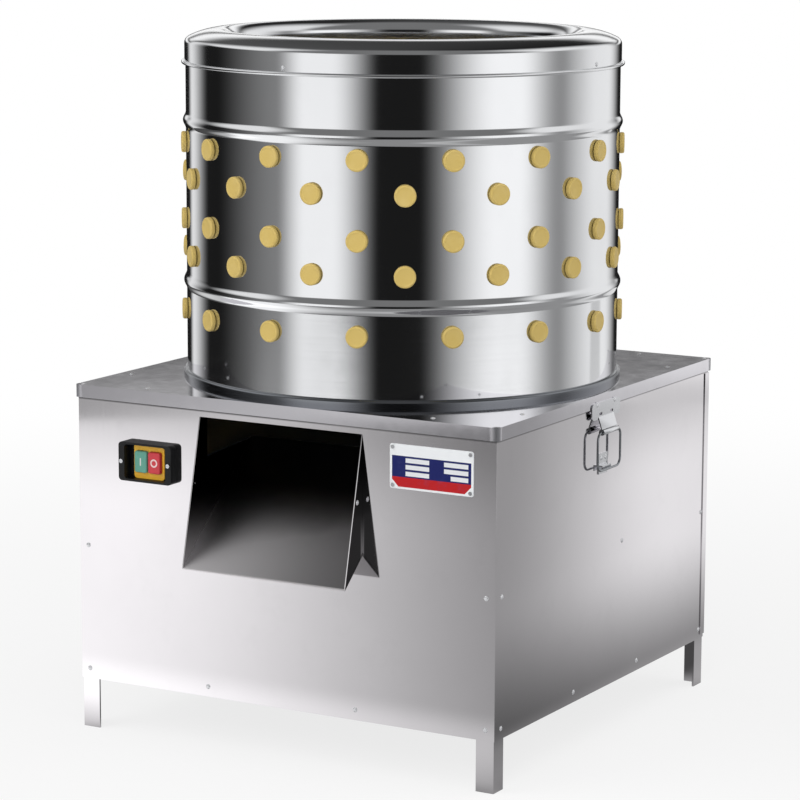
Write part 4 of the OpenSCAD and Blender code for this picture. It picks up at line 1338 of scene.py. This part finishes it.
@dataclass
class Works:
    """The frame, the drive and the small parts that keep their CAD shapes."""

    nodes: dict[str, str] = field(default_factory=lambda: {
        "panel_steel": "base_frame rear_rail beam_front beam_rear mounting_plate",
        "pan_steel": "feather_pan",
        "machine_steel": "spindle_housing spindle_shaft driven_pulley motor_pulley motor_shaft",
        "bright_steel": "spindle_bearings hub hub_bolts lid_frame frame_bolts back_screws switch_screws "
        "nameplate_rivets",
        "dull_steel": "turntable",
        "belt_rubber": "v_belt",
        "motor_paint": "motor_body motor_flange fan_cover",
        "black_plastic": "motor_fan terminal_box cable_gland",
    })

    def build(self, shop: Shop) -> None:
        """Give each carried-over node its finish.

        Args:
            shop: the materials.
        """
        for finish, names in self.nodes.items():
            for node in names.split():
                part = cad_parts[node]
                part.data.materials.clear()
                part.data.materials.append(shop[finish])
                LOG.info("node %s: %s", node, finish)


@dataclass(frozen=True)
class SoftBox:
    """A tall soft box in the ring round the machine. Its edges are angles about Z from +X, in degrees."""

    name: str
    rise: float
    full: float
    fade: float
    end: float
    level: float

    def glow(self, turn: Wire) -> Wire:
        """Light of the box, by the angle that is looked along."""
        return turn.ease(self.rise, self.full) * turn.fall(self.fade, self.end) * self.level


@dataclass
class Studio:
    """Camera, floor and light of the picture."""

    eye: Triple = (1.9909, -3.468, 1.1046)
    yaw: float = 29.78
    pitch: float = 9.91
    roll: float = 0.20
    focal: float = 3159.7
    frame_px: float = 800.0
    sensor: float = 36.0
    aim: Triple = (0.0, 0.0, 0.45)
    floor_r: float = 2.6
    gap: float = 0.012
    ring_top: Pair = (15.0, 27.0)
    boxes: tuple[SoftBox, ...] = (
        SoftBox("fill", -175, -122, -98, -72, 0.25),
        SoftBox("left", -130, -112, -98, -72, 0.8),
        SoftBox("right", -52, -10, 2, 34, 1.12),
        SoftBox("far_right", 12, 64, 76, 100, 0.93),
        SoftBox("rim", 143, 152, 152, 176, 0.85),
    )

    def build_camera(self) -> None:
        """Set the camera where the photograph was taken from."""
        data = bpy.data.cameras.new("view")
        data.sensor_width = self.sensor
        data.lens = self.focal * self.sensor / self.frame_px
        data.clip_end = 50.0
        a, e, r = (math.radians(v) for v in (self.yaw, self.pitch, self.roll))
        right = Vector((math.cos(a), math.sin(a), 0.0))
        back = Vector((math.sin(a) * math.cos(e), -math.cos(a) * math.cos(e), math.sin(e)))
        up = back.cross(right)
        side = right * math.cos(r) + up * math.sin(r)
        top = up * math.cos(r) - right * math.sin(r)
        camera = new_piece("view", data)
        turn = Matrix((side, top, back)).transposed().to_4x4()
        camera.matrix_world = Matrix.Translation(Vector(self.eye)) @ turn
        bpy.context.scene.camera = camera

    def build_world(self) -> None:
        """Light the scene with a ring of soft boxes and dark gaps, white to the camera."""
        world = bpy.data.worlds.new("studio")
        bpy.context.scene.world = world
        world.use_nodes = True
        g = Graph(world.node_tree)
        way = g.wire("ShaderNodeTexCoord", {}, {}, "Generated")
        x, y, z = g.split(way)
        turn = y.call("ARCTAN2", x) * math.degrees(1.0)
        ring: Any = self.gap
        for box in self.boxes:
            ring = box.glow(turn) + ring
            LOG.info("soft box %s: %g to %g degrees", box.name, box.rise, box.end)
        # A grey patch low down at the far right, past the floor's edge
        low = (-z).ease(0.161, 0.168) * (x * 0.423 + y * 0.906).ease(0.977, 0.9825)
        ring = g.blend(low, ring, grey(0.64))
        # Away from the camera and to its left
        ahead = y * 0.866 - x * 0.5
        aside = -(x * 0.866) - y * 0.5
        # The backdrop: a grey band with bright borders
        behind = g.blend(z.ease(0.165, 0.183), grey(0.15), grey(0.75))
        behind = g.blend(z.fall(0.1, 0.14).most(z.ease(0.188, 0.21)), behind, grey(1.05))
        wall = g.blend(z.ease(0.0, 0.06) * ahead.ease(0.84, 0.96), ring, behind)
        # The ceiling: dark at the right, paler at the left and over the camera, with a lit strip on each side
        above = g.blend(aside.ease(-0.45, 0.45), grey(0.008), grey(0.1))
        above = g.blend((-ahead).ease(-0.35, 0.1), above, grey(0.2))
        above = g.blend(abs(aside).ease(0.3, 0.75) * ahead.ease(-0.35, -0.05) * 0.9, above, grey(1.0))
        start, end = (math.sin(math.radians(angle)) for angle in self.ring_top)
        sky = g.blend(z.ease(start, end), wall, above)
        seen = g.wire("ShaderNodeLightPath", {}, {}, "Is Camera Ray")
        colour = g.blend(seen, sky, grey(1.0))
        light = g.node("ShaderNodeBackground", {}, {"Color": colour, "Strength": 1.0})
        g.node("ShaderNodeOutputWorld", {}, {"Surface": light})

    def build_floor(self) -> None:
        """Lay a pale round floor that fades into the white, and to glossy rays glows with a painted
        reflection field that includes painted shadow under the machine.
        """
        bm = bmesh.new()
        bmesh.ops.create_circle(bm, cap_ends=True, segments=96, radius=self.floor_r)
        floor = new_piece("floor", mesh_from("floor", bm))
        material = bpy.data.materials.new("pale_floor")
        material.use_nodes = True
        g = Graph(material.node_tree)
        x, y, _ = g.split(g.place())
        far = (x * x + y * y).call("SQRT").ease(0.55, 0.95 * self.floor_r)
        path = g.node("ShaderNodeLightPath")
        seen = Wire(g, path.outputs["Is Camera Ray"])
        mirrored = Wire(g, path.outputs["Is Glossy Ray"])
        # In front: bright at the left, dark to the right and far out, with a pale strip at the panel's foot
        across = x - (y + 0.28) * 0.571
        ahead = 1.11 - across.ease(-0.42, 0.47) * 0.81 - across.ease(0.4, 0.75) * (-y).ease(1.4, 2.0) * 0.285
        ahead = ahead.dimmed((-y).ease(1.4, 2.45) * 0.42) + (-y).fall(0.48, 0.6) * 0.22
        # At the right: paler towards the back, painted shadow close to the panel, dark far out
        along = y - (x - 0.297) * 2.0
        beside = (along.ease(-0.36, 0.3) * 0.56 + 0.33) * (x.ease(0.34, 0.74) * 0.75 + 0.25)
        beside = beside.dimmed(x.ease(0.95, 1.35) * along.ease(-0.2, 0.1) * 0.32) + x.fall(0.37, 0.43) * 0.14
        # Everywhere else a slow ramp, dark far out at the left, with painted shadow under the machine
        around = (y - x * 0.7).ease(-0.6, 1.6) * 0.42 + 0.38
        past = y.ease(-0.45, -0.2)
        level = ahead + (around - ahead) * past
        level = level + (beside - level) * (x.ease(0.2, 0.4) * past)
        level = level.dimmed((-x).ease(1.2, 1.8) * y.ease(-1.9, -1.3) * 0.9)
        # Painted shadow under the machine
        level = level.dimmed(abs(x).fall(0.24, 0.34) * abs(y - AXIS_Y * MM).fall(0.24, 0.34) * 0.85)
        # The painted reflection that glossy rays see on the floor
        painted_reflection = g.wire("ShaderNodeCombineColor", {}, {0: level, 1: level, 2: level})
        shown = g.blend(seen, painted_reflection, grey(1.0))
        pale = g.node("ShaderNodeBsdfDiffuse", {}, {"Color": grey(0.93)})
        white = g.node("ShaderNodeEmission", {}, {"Color": shown, "Strength": 1.0})
        share = (seen * (far * 0.2 + 0.8) + mirrored).call("MINIMUM", 1.0)
        mixed = g.node("ShaderNodeMixShader", {}, {0: share, 1: pale, 2: white})
        g.node("ShaderNodeOutputMaterial", {}, {"Surface": mixed})
        floor.data.materials.append(material)

    def build_lamps(self) -> None:
        """Hang three broad soft lamps."""
        spots = (
            ("key", (-1.6, -2.4, 2.6), 2.2, 34.0),
            ("top", (0.6, -0.2, 2.8), 2.4, 22.0),
            ("front", (1.3, -3.0, 1.3), 1.6, 26.0),
        )
        for name, place, size, power in spots:
            data = bpy.data.lights.new(name, "AREA")
            data.shape = "SQUARE"
            data.size = size
            data.energy = power
            lamp = new_piece(name, data)
            lamp.location = place
            lamp.rotation_mode = "QUATERNION"
            lamp.rotation_quaternion = (Vector(self.aim) - Vector(place)).to_track_quat("-Z", "Y")
            lamp.visible_camera = False
            lamp.visible_glossy = False

    def build(self) -> None:
        """Make the whole studio."""
        bpy.context.scene.view_settings.view_transform = "Standard"
        self.build_camera()
        self.build_world()
        self.build_floor()
        self.build_lamps()


def main() -> None:
    """Build the studio and dress the machine."""
    logging.basicConfig(level=logging.INFO, format="%(message)s")
    Studio().build()
    shop = Shop()
    scatter = Scatter()
    DrumShell().build(shop)
    Fingers().build(scatter, shop["finger_rubber"])
    Rivets().build(scatter, shop["rivet_steel"])
    Latches().build(WirePath(), shop)
    Cabinet().build(shop)
    Works().build(shop)


if __name__ == "__main__":
    main()
